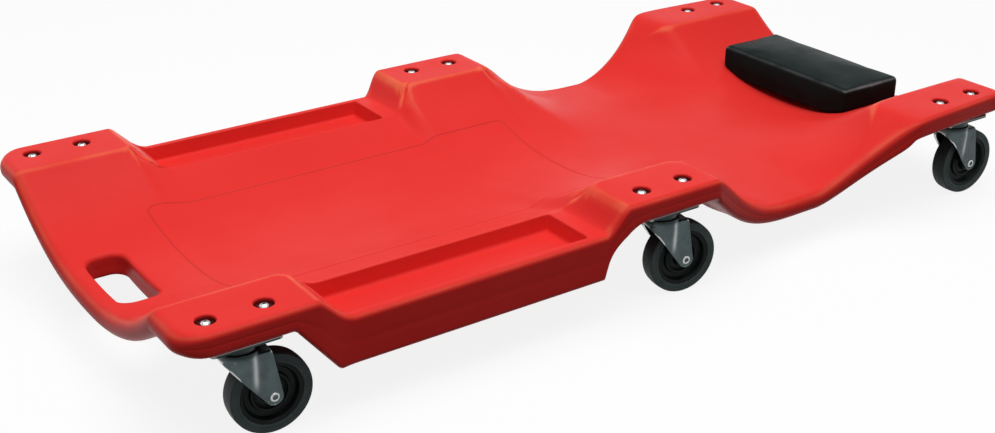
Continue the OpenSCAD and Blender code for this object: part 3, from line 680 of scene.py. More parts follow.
class DeckForm:
    """The moulding's surfaces as functions of the place on the deck."""

    edge_limit_share = 0.92
    waist_share = 0.59
    dip_powers = (1.5, 1.5)
    narrow_powers = (2.4, 2.6)
    arch_powers = (2, 0.6)
    scoop_bow_share = 0.39
    scoop_end_share = 0.75
    box_lean = 3
    least_pad = 14 * MM
    border_r = 9 * MM
    border_w = 0.8 * MM
    box_blend = 1.5 * MM

    def __init__(self, s):
        self.s = s
        self.foot_x = -s.deck_l / 2
        self.head_x = s.deck_l / 2
        self.foot_ramp_x = self.foot_x + s.foot_pad_l
        self.rail_foot_x = self.foot_ramp_x + s.foot_ramp_l
        self.head_pad_x = self.head_x - s.head_pad_l
        self.mid_end_x = self.head_pad_x - s.shoulder_l
        self.mid_pad_x = self.mid_end_x - s.mid_pad_l
        self.rail_head_x = self.mid_pad_x - s.mid_ramp_l
        self.waist_x = self.mid_end_x + self.waist_share * s.shoulder_l
        self.pad_z = s.mount_h + s.pad_t
        self.rail_z = self.pad_z - s.rail_drop
        self.tray_z = self.rail_z - s.tray_depth
        self.tray_out_y = s.trays_w / 2 - s.rail_w
        self.tray_in_y = self.tray_out_y - s.tray_w
        self.box_in_y = self.tray_in_y - s.box_wall
        self.box_foot_x = self.rail_foot_x - s.box_slope_in
        self.tray_x0 = self.rail_foot_x
        self.tray_x1 = self.rail_head_x - s.tray_end_gap
        self.waist_t = 2 * s.waist_r / self.edge_limit_share
        self.nose_r = s.deck_t / 2
        self.slot_x = self.foot_x + s.handle_w + s.slot_w / 2

    def bowl(self, x, powers):
        """0 outside the shoulder and 1 at the waist."""
        foot_l, head_l = self.waist_x - self.mid_end_x, self.head_pad_x - self.waist_x
        foot = soft_share((x - self.mid_end_x) / foot_l, self.s.crease / foot_l)
        head = soft_share((self.head_pad_x - x) / head_l, self.s.head_crease / head_l)
        return np.where(x < self.waist_x, 1 - (1 - foot) ** powers[0], 1 - (1 - head) ** powers[1])

    def foot_ramp(self, x):
        """The foot ramp's share: a straight slope with a crisp upper edge and a softer lower one."""
        down = (x - self.foot_ramp_x) / self.s.foot_ramp_l
        crisp, softer = 0.12, 0.4
        return soft_min(-soft_min(-down, 0, crisp), 1, softer)

    def rail_weight(self, x):
        return self.foot_ramp(x) - ease(x, self.rail_head_x, self.mid_pad_x)

    def plain_half_w(self, x):
        s = self.s
        head = mix(s.head_w, s.head_end_w, np.clip((x - self.head_pad_x) / s.head_pad_l, 0, 1))
        foot = mix(s.deck_w, s.trays_w, self.rail_weight(x))
        wide = np.where(x > self.waist_x, head, foot)
        return mix(wide, s.waist_w, self.bowl(x, self.narrow_powers)) / 2

    def half_w(self, x):
        out = self.plain_half_w(x)
        for d, r in ((x - self.foot_x, self.s.foot_corner_r), (self.head_x - x, self.s.head_corner_r)):
            out = out - (r - np.sqrt(r * r - np.clip(r - d, 0, r) ** 2))
        return out

    def dish_z(self, x):
        return self.pad_z - mix(self.s.dish_foot, self.s.dish_head, (x - self.foot_x) / self.s.deck_l)

    def flank_y(self, x):
        pads = mix(self.s.pad_gap / 2, self.tray_in_y, self.rail_weight(x))
        return mix(pads, self.half_w(x) - self.s.waist_r, self.bowl(x, self.narrow_powers))

    def plateau_z(self, x, y):
        s = self.s
        across = np.minimum(1, 2 * np.abs(y) / (self.scoop_end_share * s.deck_w))
        bow = self.scoop_bow_share * s.shoulder_l * (1 - across * across)
        bowed = mix(x - bow, self.waist_x, ease(x, self.mid_end_x, self.waist_x))
        dip_x = np.where(x < self.waist_x, np.minimum(bowed, self.waist_x - 1e-9), x)
        drop = s.waist_drop * self.bowl(dip_x, self.dip_powers)
        return self.pad_z - s.rail_drop * self.rail_weight(x) - drop

    def rise(self, x, y):
        """Share of the dish's rise, with a soft crease where the pads begin."""
        depth = self.plateau_z(x, y) - self.dish_z(x)
        slope = self.s.dish_power / self.flank_y(x)
        soft = self.s.crease * slope
        flat_share = (np.abs(y) / self.flank_y(x)) ** self.s.dish_power
        return np.where(depth > 0, soft_min(flat_share, 1, soft), np.minimum(flat_share, 1))

    def round_corners(self, x, y):
        """Shifts places near the pads' inner corners so that the creases turn there in a round."""
        y = np.abs(y)
        tight = self.s.pad_corner_r
        wide = 1.5 * tight
        for facing, corner_x, r in (
            (1, self.foot_ramp_x, tight), (-1, self.mid_pad_x, tight), (1, self.mid_end_x, wide),
        ):
            u, v = facing * (corner_x - x), y - self.s.pad_gap / 2
            a, b = np.maximum(r - u, 0), np.maximum(r - v, 0)
            shift = np.where((a > 0) & (b > 0), r - np.hypot(a, b) - np.minimum(u, v), 0)
            away = np.maximum(-u, 0) + np.maximum(-v, 0)
            shift = shift * np.exp(-((away / (1.5 * r)) ** 2))
            x, y = x - facing * shift, y + shift
        return x, y

    def top_z(self, x, y):
        """Upper surface, evened over a patch that is small at the foot end and larger at the head end."""
        x, y = self.round_corners(x, y)
        headward = ease(x, self.waist_x - 60 * MM, self.head_pad_x - 15 * MM)
        reach = mix(1.2 * MM, 0.6 * self.s.head_crease, headward)
        total = 0
        for i, j, weight in PATCH:
            px, py = x + i * reach, y + j * reach
            total = total + weight * mix(self.dish_z(px), self.plateau_z(px, py), self.rise(px, py))
        return total

    def border(self, x, y):
        """Depth of the fine groove round the panel in the dish."""
        s = self.s
        r = self.border_r
        middle, half = (s.panel_foot_x + s.panel_head_x) / 2, (s.panel_head_x - s.panel_foot_x) / 2
        u, v = np.abs(x - middle) - half + r, np.abs(y) - s.panel_w / 2 + r
        away = np.hypot(np.maximum(u, 0), np.maximum(v, 0)) + np.minimum(np.maximum(u, v), 0) - r
        return s.panel_depth * np.exp(-((away / self.border_w) ** 2))

    def box_z(self, x, y):
        s = self.s
        slope = s.mount_h + (s.skirt_z - s.mount_h) * (x - self.box_foot_x + s.box_slope_l) / s.box_slope_l
        t = np.clip((x - self.rail_head_x) / s.arch_l, 0, 1)
        arch = mix(s.skirt_z, s.mount_h, (1 - (1 - t) ** self.arch_powers[0]) ** self.arch_powers[1])
        footward = x < (self.rail_foot_x + self.rail_head_x) / 2
        low = np.where(footward, -soft_min(-slope, -s.skirt_z, s.crease), arch)
        low = np.where(x > self.rail_head_x + s.arch_l, self.pad_z, low)
        return low + self.box_lean * np.maximum(0, self.box_in_y - np.abs(y))

    def steep(self, x, y):
        step = 2 * MM
        slope = (self.plateau_z(x + step, y) - self.plateau_z(x - step, y)) / (2 * step) * self.rise(x, y)
        r = self.s.edge_r
        inside = ease(x, self.mid_end_x - r, self.mid_end_x + r)
        beyond = ease(x, self.head_pad_x - r, self.head_pad_x + r)
        return np.sqrt(1 + slope * slope * inside * (1 - beyond))

    def thick(self, x, y):
        rise = np.minimum((np.abs(y) / self.flank_y(x)) ** self.s.dish_power, 1)
        plain = mix(self.s.deck_t, self.s.pad_t, rise)
        return mix(plain, self.waist_t, self.bowl(x, self.narrow_powers)) * self.steep(x, y)

    def low_z(self, x, y):
        return soft_min(self.top_z(x, y) - self.thick(x, y), self.box_z(x, y), self.box_blend)

    def edge_round(self, x, r):
        """The round at the side, no larger than the thickness allows."""
        wanted = mix(r, self.s.waist_r, self.bowl(x, self.narrow_powers))
        return np.minimum(wanted, self.thick(x, self.half_w(x)) / 2 * self.edge_limit_share)

    def inward(self, x, y):
        """Distance from the outline in plan, and how far the outline there faces along the deck."""
        s = self.s
        foot = x < 0
        d = np.where(foot, x - self.foot_x, self.head_x - x)
        r = np.where(foot, s.foot_corner_r, s.head_corner_r)
        side = self.plain_half_w(x) - np.abs(y)
        u, v = r - d, r - side
        corner = (u > 0) & (v > 0)
        reach = np.where(corner, r - np.hypot(u, v), np.minimum(d, side))
        facing = np.where(corner, u * u / (u * u + v * v + 1e-12), (d < side).astype(float))
        return np.maximum(reach, 0), facing

    def faces_at(self, x, y, r):
        """Heights of both faces where the side's round is r: (upper, lower)."""
        flat_y = np.minimum(np.abs(y), self.half_w(x) - r)
        limit = self.thick(x, flat_y) / 2 * self.edge_limit_share
        reach, facing = self.inward(x, y)
        r = np.minimum(mix(r, self.nose_r, facing), limit)
        fall = r - np.sqrt(r * r - np.clip(r - reach, 0, r) ** 2)
        return self.top_z(x, flat_y) - fall - self.border(x, y), self.low_z(x, flat_y) + fall


# Places and weights of the patch over which the upper surface is evened
PATCH = [(0, 0, 0.2)] + [
    (math.cos(k * math.pi / 4) * r, math.sin(k * math.pi / 4) * r, weight)
    for r, weight in ((0.5, 0.05), (1, 0.05)) for k in range(8)
]
# Columns of the net: in the dish, close together at the panel's border, and up the flank
DISH_PLACES = np.array([
    8, 16, 24, 32, 38, 43, 48, 53, 58, 63, 69, 77, 85, 91, 95, 97.5, 99.5, 101, 102, 102.8, 103.4, 104,
    104.6, 105.2, 106, 108,
]) * MM
FLANK_SHARES = np.array([0.1, 0.2, 0.3, 0.4, 0.5, 0.59, 0.67, 0.74, 0.8, 0.85, 0.89, 0.925, 0.955, 0.98, 1])
PAD_SHARES = np.array([
    0.015, 0.04, 0.08, 0.14, 0.2, 0.27, 0.34, 0.41, 0.475, 0.54, 0.6, 0.66, 0.72, 0.78, 0.84, 0.91,
    0.965, 1,
])
ROUND_STEPS = 8


def deck_columns(form, x, r):
    """Places across one half of the deck at every station x (a column of values)."""
    edge = form.half_w(x) - r
    flank = np.minimum(form.flank_y(x), edge - form.least_pad)
    angles = np.linspace(0, math.pi / 2, ROUND_STEPS + 1)[1:]
    half = np.concatenate([
        np.broadcast_to(DISH_PLACES, (len(x), len(DISH_PLACES))),
        mix(DISH_PLACES[-1], flank, FLANK_SHARES),
        mix(flank, edge, PAD_SHARES),
        edge + r * np.sin(angles),
    ], axis=1)
    return np.concatenate([-half[:, ::-1], np.zeros_like(x), half], axis=1)


def deck_stations(form):
    """Places along the deck, close together at the ends, ramps, panel ends and shoulders."""
    s = form.s
    nose = np.array([0, 0.2, 0.8, 1.8, 3.2, 5, 7, 9.5, 12]) / 12 * form.nose_r
    mid_x, kink = SWIVELS["mid_left"][0], 8 * MM
    stops = (
        (form.foot_x + form.nose_r, 3.3), (s.panel_foot_x - 4 * MM, 0.9), (s.panel_foot_x + 11 * MM, 3),
        (form.foot_ramp_x - 4 * MM, 2.4), (form.tray_x0 + 16 * MM, 10), (form.tray_x1 - 16 * MM, 2.4),
        (form.mid_pad_x + 3 * MM, 4), (mid_x - 40 * MM, 3.3), (mid_x + 18 * MM, 1),
        (s.panel_head_x + 3 * MM, 3.3), (form.mid_end_x - kink, 1.8), (form.mid_end_x + 2 * kink, 5.2),
        (form.head_pad_x - 4 * kink, 2.6), (form.head_pad_x + 3 * kink, 6),
        (form.head_x - 103.5 * MM, 3.3), (form.head_x - form.nose_r, None),
    )
    places = [stops[0][0]]
    for (start, step), (end, _) in zip(stops, stops[1:]):
        count = max(1, round((end - start) / (step * MM)))
        places.extend(np.linspace(start, end, count + 1)[1:])
    return np.concatenate([form.foot_x + nose[:-1], places, form.head_x - nose[:-1][::-1]])


def hole_loop(cells, table):
    """Indices round the edge of a block of cells, always in the same order."""
    i0, i1, k0, k1 = cells
    order = (
        [(i, k0) for i in range(i0, i1)] + [(i1, k) for k in range(k0, k1)]
        + [(i, k1) for i in range(i1, i0, -1)] + [(i0, k) for k in range(k1, k0, -1)]
    )
    return [table[i][k] for i, k in order], order


def on_rounded(u, v, centre, a, b, r):
    """Points of a rounded rectangle in the directions of a unit square's edge."""
    x, y = u * a, v * b
    ox, oy = np.sign(u) * (a - r), np.sign(v) * (b - r)
    corner = (np.abs(x) > a - r) & (np.abs(y) > b - r)
    px, py = x - ox, y - oy
    size = np.maximum(np.hypot(px, py), 1e-9)
    return (
        centre[0] + np.where(corner, ox + px / size * r, x),
        centre[1] + np.where(corner, oy + py / size * r, y),
    )


class Opening:
    """A hollow or hole in the deck, made of rings from a block of cells left out of its faces."""

    def __init__(self, deck, centre, reach):
        xs, ys = deck.x, deck.y
        i0 = int(np.searchsorted(xs, centre[0] - reach[0], side="right")) - 1
        i1 = int(np.searchsorted(xs, centre[0] + reach[0], side="left"))
        row = ys[(i0 + i1) // 2]
        k0 = int(np.searchsorted(row, centre[1] - reach[1], side="right")) - 1
        k1 = int(np.searchsorted(row, centre[1] + reach[1], side="left"))
        self.cells = (i0, i1, k0, k1)
        self.centre = centre
        self.deck = deck
        self.top_loop, order = hole_loop(self.cells, deck.top)
        self.low_loop, _ = hole_loop(self.cells, deck.low)
        x = np.array([xs[i] for i, _ in order])
        y = np.array([ys[i][k] for i, k in order])
        y0 = np.array([ys[i][k0] for i, _ in order])
        y1 = np.array([ys[i][k1] for i, _ in order])
        self.u = 2 * (x - xs[i0]) / (xs[i1] - xs[i0]) - 1
        self.v = 2 * (y - y0) / (y1 - y0) - 1
        self.last = self.top_loop
        deck.open_top.append(self.cells)

    def ring(self, size, height, along=0.0):
        """Adds a ring moved by along; height is a value, an array or a function of x and y."""
        x, y = on_rounded(self.u, self.v, (self.centre[0] + along, self.centre[1]), *size)
        z = height(x, y) if callable(height) else np.broadcast_to(height, x.shape)
        loop = self.deck.shell.add(zip(x, y, z))
        self.deck.shell.strip(self.last, loop)
        self.last = loop
        return np.array(z)

    def floor(self):
        self.deck.shell.faces.append(tuple(self.last))

    def through(self):
        self.deck.shell.strip(self.last, self.low_loop)
        self.deck.open_low.append(self.cells)


class DeckMesh:
    """Lays a net over both faces of the moulding and closes it round the edge."""

    def __init__(self, form):
        self.form = form
        self.shell = Shell()
        self.open_top, self.open_low = [], []
        x = deck_stations(form)[:, None]
        top_r, low_r = form.edge_round(x, form.s.edge_r), form.edge_round(x, form.s.under_r)
        top_y, low_y = deck_columns(form, x, top_r), deck_columns(form, x, low_r)
        top_z = form.faces_at(x, top_y, top_r)[0]
        low_z = form.faces_at(x, low_y, low_r)[1]
        self.x, self.y = x[:, 0], top_y
        self.top = self.add_net(x, top_y, top_z)
        self.low = self.add_net(x, low_y, low_z)
        self.close_sides(x[:, 0], top_y, top_z, low_z)

    def add_net(self, x, y, z):
        shape = y.shape
        flat = np.stack([np.broadcast_to(x, shape), y, z], axis=-1).reshape(-1, 3)
        return np.array(self.shell.add(flat)).reshape(shape)

    def close_sides(self, x, y, top_z, low_z):
        """The wall between the two rounds, with the parting line as a fine groove at half its height."""
        rows = ((0.3, 0), (0.44, 0), (0.5, 1), (0.56, 0), (0.75, 0))
        full_groove_wall = 6 * MM
        self.walls = {}
        for k in (0, y.shape[1] - 1):
            side = np.sign(y[0, k])
            chain = [self.top[:, k]]
            wall = top_z[:, k] - low_z[:, k]
            depth = self.form.s.seam * np.clip(wall / full_groove_wall, 0, 1)
            for down, groove in rows:
                z = mix(top_z[:, k], low_z[:, k], down)
                chain.append(np.array(self.shell.add(zip(x, y[:, k] - side * groove * depth, z))))
            chain.append(self.low[:, k])
            for a, b in zip(chain, chain[1:]):
                self.shell.strip(list(a), list(b), closed=False)
            self.walls[k] = chain

    def close(self):
        """Adds the faces of both nets and the two ends, once the openings are cut."""
        for net, openings in ((self.top, self.open_top), (self.low, self.open_low)):
            closed = np.ones((len(self.x) - 1, self.y.shape[1] - 1), bool)
            for i0, i1, k0, k1 in openings:
                closed[i0:i1, k0:k1] = False
            for i, k in zip(*np.nonzero(closed)):
                self.shell.faces.append((net[i, k], net[i + 1, k], net[i + 1, k + 1], net[i, k + 1]))
        last = self.y.shape[1] - 1
        for i in (0, len(self.x) - 1):
            for k in range(last):
                face = [self.top[i, k], self.top[i, k + 1]]
                if k + 1 == last:
                    face += [row[i] for row in self.walls[last][1:-1]]
                face += [self.low[i, k + 1], self.low[i, k]]
                if k == 0:
                    face += [row[i] for row in self.walls[0][1:-1]][::-1]
                self.shell.faces.append(tuple(face))


def cut_tray(deck, side):
    """A tray whose foot end goes on down from the ramp in one slope."""
    form, s = deck.form, deck.form.s
    up_ramp, end_margin, side_margin = 9 * MM, 4 * MM, 1.9 * MM
    mouth_x = form.tray_x0 - up_ramp
    a, b = (form.tray_x1 - mouth_x) / 2, s.tray_w / 2
    centre = ((form.tray_x1 + mouth_x) / 2, side * (form.tray_in_y + form.tray_out_y) / 2)
    tray = Opening(deck, centre, (a + end_margin, b + side_margin))
    slope = s.rail_drop / s.foot_ramp_l
    mouth_z = form.top_z(np.array(mouth_x), form.tray_in_y)

    def step(inset, height, depth):
        """One ring, moved in at the foot end as far as the slope asks at that depth."""
        foot = max(depth / slope, inset)
        size = (a - (foot + inset) / 2, b - inset, max(s.tray_r - inset / 2, 0.8 * MM))
        return tray.ring(size, height, (foot - inset) / 2)

    rim = step(-s.tray_round, form.top_z, -s.tray_round)
    for up, out in quarter(4)[1:]:
        drop = s.tray_round * (1 - out)
        z = step(-s.tray_round * (1 - up), rim - drop, drop)
    foot_z = form.tray_z + s.tray_fillet
    wall_l = s.tray_draft * (1 - s.tray_fillet / s.tray_depth)
    for t in (0.2, 0.45, 0.7, 0.9):
        step(wall_l * t, mix(z, foot_z, t), mix(s.tray_round, mouth_z - foot_z, t))
    for up, out in quarter(6):
        low = s.tray_fillet * up
        step(wall_l + s.tray_fillet * (1 - out), foot_z - low, mouth_z - foot_z + low)
    for more in (1.5, 5, 12, 20):
        step(wall_l + s.tray_fillet + more * MM, form.tray_z, mouth_z - form.tray_z + more * MM)
    tray.floor()


def cut_slot(deck):
    form, s = deck.form, deck.form.s
    a, b = s.slot_w / 2, s.slot_l / 2
    margin_x, margin_y, low_round = 8.6 * MM, 9 * MM, 3.5 * MM
    slot = Opening(deck, (form.slot_x, 0), (a + margin_x, b + margin_y))

    def size(offset):
        return (a + offset, b + offset, s.slot_r + offset)

    for up, out in quarter(8):
        drop = s.slot_round * (1 - out)
        upper = slot.ring(size(s.slot_round * (1 - up)), lambda x, y: form.top_z(x, y) - drop)
    edge = on_rounded(slot.u, slot.v, slot.centre, *size(0))
    lower = form.low_z(*edge) + low_round
    for t in (0.1, 0.45, 0.5, 0.55, 0.9):
        slot.ring(size(s.seam if t == 0.5 else 0), mix(upper, lower, t))
    for up, out in quarter(5):
        rise = low_round * (1 - up)
        slot.ring(size(low_round * (1 - out)), lambda x, y: form.low_z(x, y) + rise)
    slot.through()


def circle(r):
    """The size of a round ring in an opening."""
    return (r, r, r)


def cut_bolt_holes(deck, bolt_d):
    form, s = deck.form, deck.form.s
    r = s.recess_d / 2
    floor_z = form.pad_z - s.recess_depth
    fillet, margin = 1.2 * MM, 4.2 * MM
    bore = bolt_d / 2 + 0.4 * MM
    for centre in bolt_places(s.bolt_spacing):
        hole = Opening(deck, centre, (r + margin, r + margin))
        for up, out in quarter(6):
            drop = s.recess_round * (1 - out)
            hole.ring(circle(r + s.recess_round * (1 - up)), lambda u, v: form.top_z(u, v) - drop)
        for up, out in quarter(4):
            hole.ring(circle(r - fillet * (1 - out)), floor_z + fillet * (1 - up))
        for size, z in (
            (r - 2.2 * MM, floor_z), (bore + 1 * MM, floor_z), (bore, floor_z - 0.3 * MM),
            (bore, floor_z - 2 * MM), (bore, s.mount_h + 1.5 * MM), (bore + 0.6 * MM, s.mount_h),
            (r, s.mount_h),
        ):
            hole.ring(circle(size), z)
        hole.through()


def cut_screw_holes(deck):
    """The two holes under the headrest, counterbored from beneath."""
    bore, head = circle(2.7 * MM), circle(6.8 * MM)
    for screw in screw_places():
        hole = Opening(deck, (screw.x, screw.y), (10 * MM, 10 * MM))
        for size, z in ((bore, deck.form.top_z), (bore, screw.z), (head, screw.z), (head, deck.form.low_z)):
            hole.ring(size, z)
        hole.through()


def screw_places():
    """Where the heads of the two headrest screws sit."""
    low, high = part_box("headrest_screws")
    middle_x = (low.x + high.x) / 2
    reach = (high.x - low.x) / 2
    seat_z = low.z + reach / 2
    return [Vector((middle_x, side * (high.y - reach), seat_z)) for side in (-1, 1)]


def mark_places(mesh, form):
    """Marks painted shade in the bolt recesses and the panel's border groove, and a painted highlight along
    the creases and rolled upper edges.
    """
    s = form.s
    points, normals = np.empty(len(mesh.vertices) * 3), np.empty(len(mesh.vertices) * 3)
    mesh.vertices.foreach_get("co", points)
    mesh.vertex_normals.foreach_get("vector", normals)
    x, y, z = points.reshape(-1, 3).T
    up = normals.reshape(-1, 3)[:, 2]
    upper = ease(up, 0.3, 0.6)
    border_share, edge_share, edge_up, edge_spread = 0.3, 0.55, 0.66, 0.13
    # Painted shade: faint in the panel's border groove, and deeper down the bolt recesses.
    sunk = border_share * form.border(x, y) / s.panel_depth * upper
    depth = ease(form.pad_z - z, s.recess_round * 0.8, s.recess_depth * 0.6)
    for px, py in bolt_places(s.bolt_spacing):
        sunk = np.where(np.hypot(x - px, y - py) < s.recess_d / 2 + 0.2 * MM, depth, sunk)
    # A painted highlight along the creases of the upper face and on the upper edges that roll up towards
    # the light.
    step = 2.5 * MM
    inside = np.minimum(np.abs(y), form.half_w(x) - 2 * s.edge_r)
    steps = ((1, 0), (-1, 0), (0, 1), (0, -1))
    around = sum(form.top_z(x + i * step, inside + j * step) for i, j in steps)
    level = form.top_z(x, inside)
    fold = ease((4 * level - around) / step, 0.12, 0.4)
    on_top = (np.abs(z - level) < 3 * MM) & (np.abs(y) < form.half_w(x) - s.edge_r)
    reach, _ = form.inward(np.clip(x, form.foot_x, form.head_x), y)
    at_edge = (reach < 1.1 * s.waist_r) & (z > level - 1.2 * s.waist_r)
    rolled = np.exp(-(((up - edge_up) / edge_spread) ** 2)) * at_edge
    mark(mesh, "sunk", sunk)
    mark(mesh, "crest", np.maximum(fold * on_top * upper, edge_share * rolled))


class CREEPER_OT_deck(bpy.types.Operator):
    """Builds the moulded deck with its pads, trays, shoulder cut-outs and handle slot"""

    bl_idname = "creeper.deck"
    bl_label = "Deck"

    def execute(self, context):
        form = DeckForm(context.scene.creeper_deck)
        deck = DeckMesh(form)
        for side in (-1, 1):
            cut_tray(deck, side)
        cut_slot(deck)
        cut_bolt_holes(deck, context.scene.creeper_fasteners.bolt_d)
        cut_screw_holes(deck)
        deck.close()
        obj = new_object("moulded_deck", deck.shell.mesh("moulded_deck"), "red_plastic")
        even_normals(obj)
        mark_places(obj.data, form)
        placed(obj, "deck", "deck")
        return {"FINISHED"}


# Casters


def hub_out(c):
    """Half the width of a hub, which stands out past the tyre on both sides."""
    return c.tyre_w / 2 + 1.5 * MM


def leg_out(c):
    """From the middle of a wheel to the outer face of a fork leg."""
    return hub_out(c) + c.hub_gap + c.fork_t


def fork_sheet(c):
    """The fork's pressed sheet: two legs, the crown between them and the drawn cup round the swivel."""
    ball_overlap = 1.2 * MM
    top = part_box("plate_foot_left")[0].z - c.ball_d + ball_overlap
    axle_z, leg_y = c.wheel_d / 2, leg_out(c)
    cup_r = 13 * MM + c.ball_d + c.fork_t / 2
    end_r, rim_h, bend = 8 * MM, 4.5 * MM, 3.2 * MM
    front_x, front_z = -cup_r, top - c.fork_t
    dx, dz = front_x - c.trail, front_z - axle_z
    lean = math.atan2(dz, dx) + math.acos(end_r / math.hypot(dx, dz))
    touch = (c.trail + end_r * math.cos(lean), axle_z + end_r * math.sin(lean))

    def left(z):
        if z >= front_z:
            return front_x
        if z > touch[1]:
            return mix(touch[0], front_x, (z - touch[1]) / (front_z - touch[1]))
        return c.trail - math.sqrt(max(end_r ** 2 - (z - axle_z) ** 2, 0))

    def right(z):
        if z > axle_z:
            return c.trail + mix(end_r, end_r * 0.1, (z - axle_z) / (top - axle_z))
        return c.trail + math.sqrt(max(end_r ** 2 - (z - axle_z) ** 2, 0))

    def out_y(x, z):
        if x > math.sqrt(cup_r ** 2 - leg_y ** 2):
            return leg_y
        cup = math.sqrt(max(cup_r ** 2 - x * x, 0))
        return mix(leg_y, cup, min(max((z - axle_z - 6 * MM) / (top - axle_z - 12 * MM), 0), 1) ** 0.8)

    across = np.concatenate([np.linspace(0, 0.08, 4)[:-1], np.linspace(0.08, 1, 24)])
    heights = list(np.linspace(top - bend, touch[1], 22))
    heights += [axle_z + end_r * math.sin(a) for a in np.linspace(lean, -math.pi / 2 + 0.02, 16)[1:]]
    heights = sorted({round(z, 7) for z in heights if z >= axle_z - end_r}, reverse=True)
    shell = Shell()
    legs = {}
    for side in (-1, 1):
        legs[side] = []
        for z in heights[::-1]:
            xs = mix(left(z), right(z), across)
            legs[side].append(shell.add((x, side * out_y(x, z), z) for x in xs))
        for turn in np.linspace(0, math.pi / 2, 6)[1:]:
            row = []
            for x in mix(left(top), right(top), across):
                y = out_y(x, top)
                r = min(bend, y)
                row.append((x, side * (y - r + r * math.cos(turn)), top - bend + bend * math.sin(turn)))
            legs[side].append(shell.add(row))
    crown = []
    for t in np.linspace(-1, 1, 9)[1:-1]:
        row = []
        for x in mix(left(top), right(top), across):
            y = out_y(x, top)
            row.append((x, t * (y - min(bend, y)), top))
        crown.append(shell.add(row))
    chain = legs[-1] + crown + legs[1][::-1]
    for a, b in zip(chain, chain[1:]):
        shell.strip(a, b, closed=False)
    mesh = shell.mesh("fork_sheet")
    if sum(face.normal.z * face.area for face in mesh.polygons) < 0:
        mesh.flip_normals()
    obj = new_object("fork_sheet", mesh)
    modify(obj, "SOLIDIFY", thickness=c.fork_t, offset=-1, use_even_offset=False)
    round_from = math.radians(60)
    modify(obj, "BEVEL", width=0.45 * MM, segments=2, limit_method="ANGLE", angle_limit=round_from)
    rim_in, rim_low = cup_r - c.fork_t / 2, top - c.fork_t / 2
    rim = [(rim_in, rim_low), (cup_r, rim_low), (cup_r, top + rim_h), (rim_in, top + rim_h)]
    fork = joined("fork", [taken(obj), turned(filleted(rim, 0.5 * MM, 3), 64)])

    # Where a painted highlight streaks down each leg's drawn cup.
    line_x, line_w = 8 * MM, 2.3 * MM

    def painted_fork_light(place):
        """-1 for painted shade on the rim, and up to 1 for the painted highlight streaking down the cup."""
        if place.z > top + 0.1 * MM:
            return -1.0
        line = math.exp(-(((place.x - line_x) / line_w) ** 2))
        return line * float(ease(place.z, axle_z + 8 * MM, axle_z + 22 * MM))

    mark(fork, "bend", [painted_fork_light(v.co) for v in fork.vertices])
    return fork


class CREEPER_OT_forks(bpy.types.Operator):
    """Builds the pressed forks of the casters"""

    bl_idname = "creeper.forks"
    bl_label = "Forks"

    def execute(self, context):
        pattern = fork_sheet(context.scene.creeper_casters)
        for name in CASTERS:
            mesh = pattern.copy()
            mesh.transform(swivel_place(name))
            obj = new_object(f"pressed_fork_{name}", mesh, "zinc_steel")
            even_normals(obj)
            placed(obj, f"swivel_{name}", f"fork_{name}")
        bpy.data.meshes.remove(pattern)
        return {"FINISHED"}


def tyre_section(c):
    """A tyre with round shoulders, a crowned tread and a fine moulding lip."""
    r, half, inner = c.wheel_d / 2, c.tyre_w / 2, c.wheel_d / 2 - c.tyre_t
    lip, shoulder_r = 0.35 * MM, 1.3 * MM
    side = [
        (inner, half - 0.6 * MM), (inner + 0.6 * MM, half), (inner + 2.4 * MM, half),
        (inner + 2.6 * MM, half - lip), (inner + 3 * MM, half - lip),
    ]
    centre = (r - 0.5 * MM - shoulder_r, half - lip - shoulder_r)
    for a in np.linspace(math.radians(88), math.radians(8), 8):
        side.append((centre[0] + shoulder_r * math.cos(a), centre[1] + shoulder_r * math.sin(a)))
    side.append((r - 0.08 * MM, half * 0.35))
    return side + [(r, 0)] + mirrored(side)[len(side):]


def core_section(c):
    """A core with hub, dished web, raised ring and rim."""
    inner, half = c.wheel_d / 2 - c.tyre_t, c.tyre_w / 2 - 1 * MM
    bore, hub = c.axle_d / 2 + 1.6 * MM, hub_out(c)
    web, raised = 2.5 * MM, 5 * MM
    rim = inner - 3.5 * MM
    side = [
        (bore, hub), (9 * MM, hub), (10 * MM, raised), (15 * MM, web), (16 * MM, raised),
        (18 * MM, raised), (19 * MM, web), (rim - 2 * MM, web), (rim, half - 1 * MM),
        (rim + 1 * MM, half), (inner, half),
    ]
    return filleted(mirrored(side), 0.6 * MM, 3)


class CREEPER_OT_wheels(bpy.types.Operator):
    """Builds the tyres, cores, bushes and axle rivets"""

    bl_idname = "creeper.wheels"
    bl_label = "Wheels"

    def execute(self, context):
        c = context.scene.creeper_casters
        axle, hub, leg = c.axle_d, hub_out(c), leg_out(c)
        roll = [
            (axle * 0.4, leg + 1.2 * MM), (axle * 0.6, leg + 1.2 * MM), (axle * 0.72, leg + 0.5 * MM),
            (axle * 0.72, leg), (axle / 2, leg),
        ]
        run_r = axle / 2 + 0.05 * MM
        bush = mirrored([(run_r, hub), (run_r + 1.5 * MM, hub)])
        parts = (
            ("tyre", "moulded_tyre", tyre_section(c), 96, "grey_rubber", "wheel"),
            ("core", "wheel_centre", core_section(c), 72, "black_plastic", "wheel"),
            ("bush", "hub_bush", filleted(bush, 0.3 * MM, 2), 40, "bright_steel", "wheel"),
            ("axle", "axle_rivet", filleted(mirrored(roll), 0.45 * MM), 40, "bright_steel", "swivel"),
        )
        tread_r = c.wheel_d / 2 - 1.1 * MM
        for caster in CASTERS:
            place = axle_place(caster, c.trail)
            for node, name, section, steps, slot, body in parts:
                mesh = turned(section, steps)
                if node == "tyre":
                    mark(mesh, "tread", [float(v.co.xy.length > tread_r) for v in mesh.vertices])
                mesh.transform(place)
                obj = new_object(f"{name}_{caster}", mesh, slot)
                even_normals(obj)
                placed(obj, f"{body}_{caster}", f"{node}_{caster}")
        return {"FINISHED"}


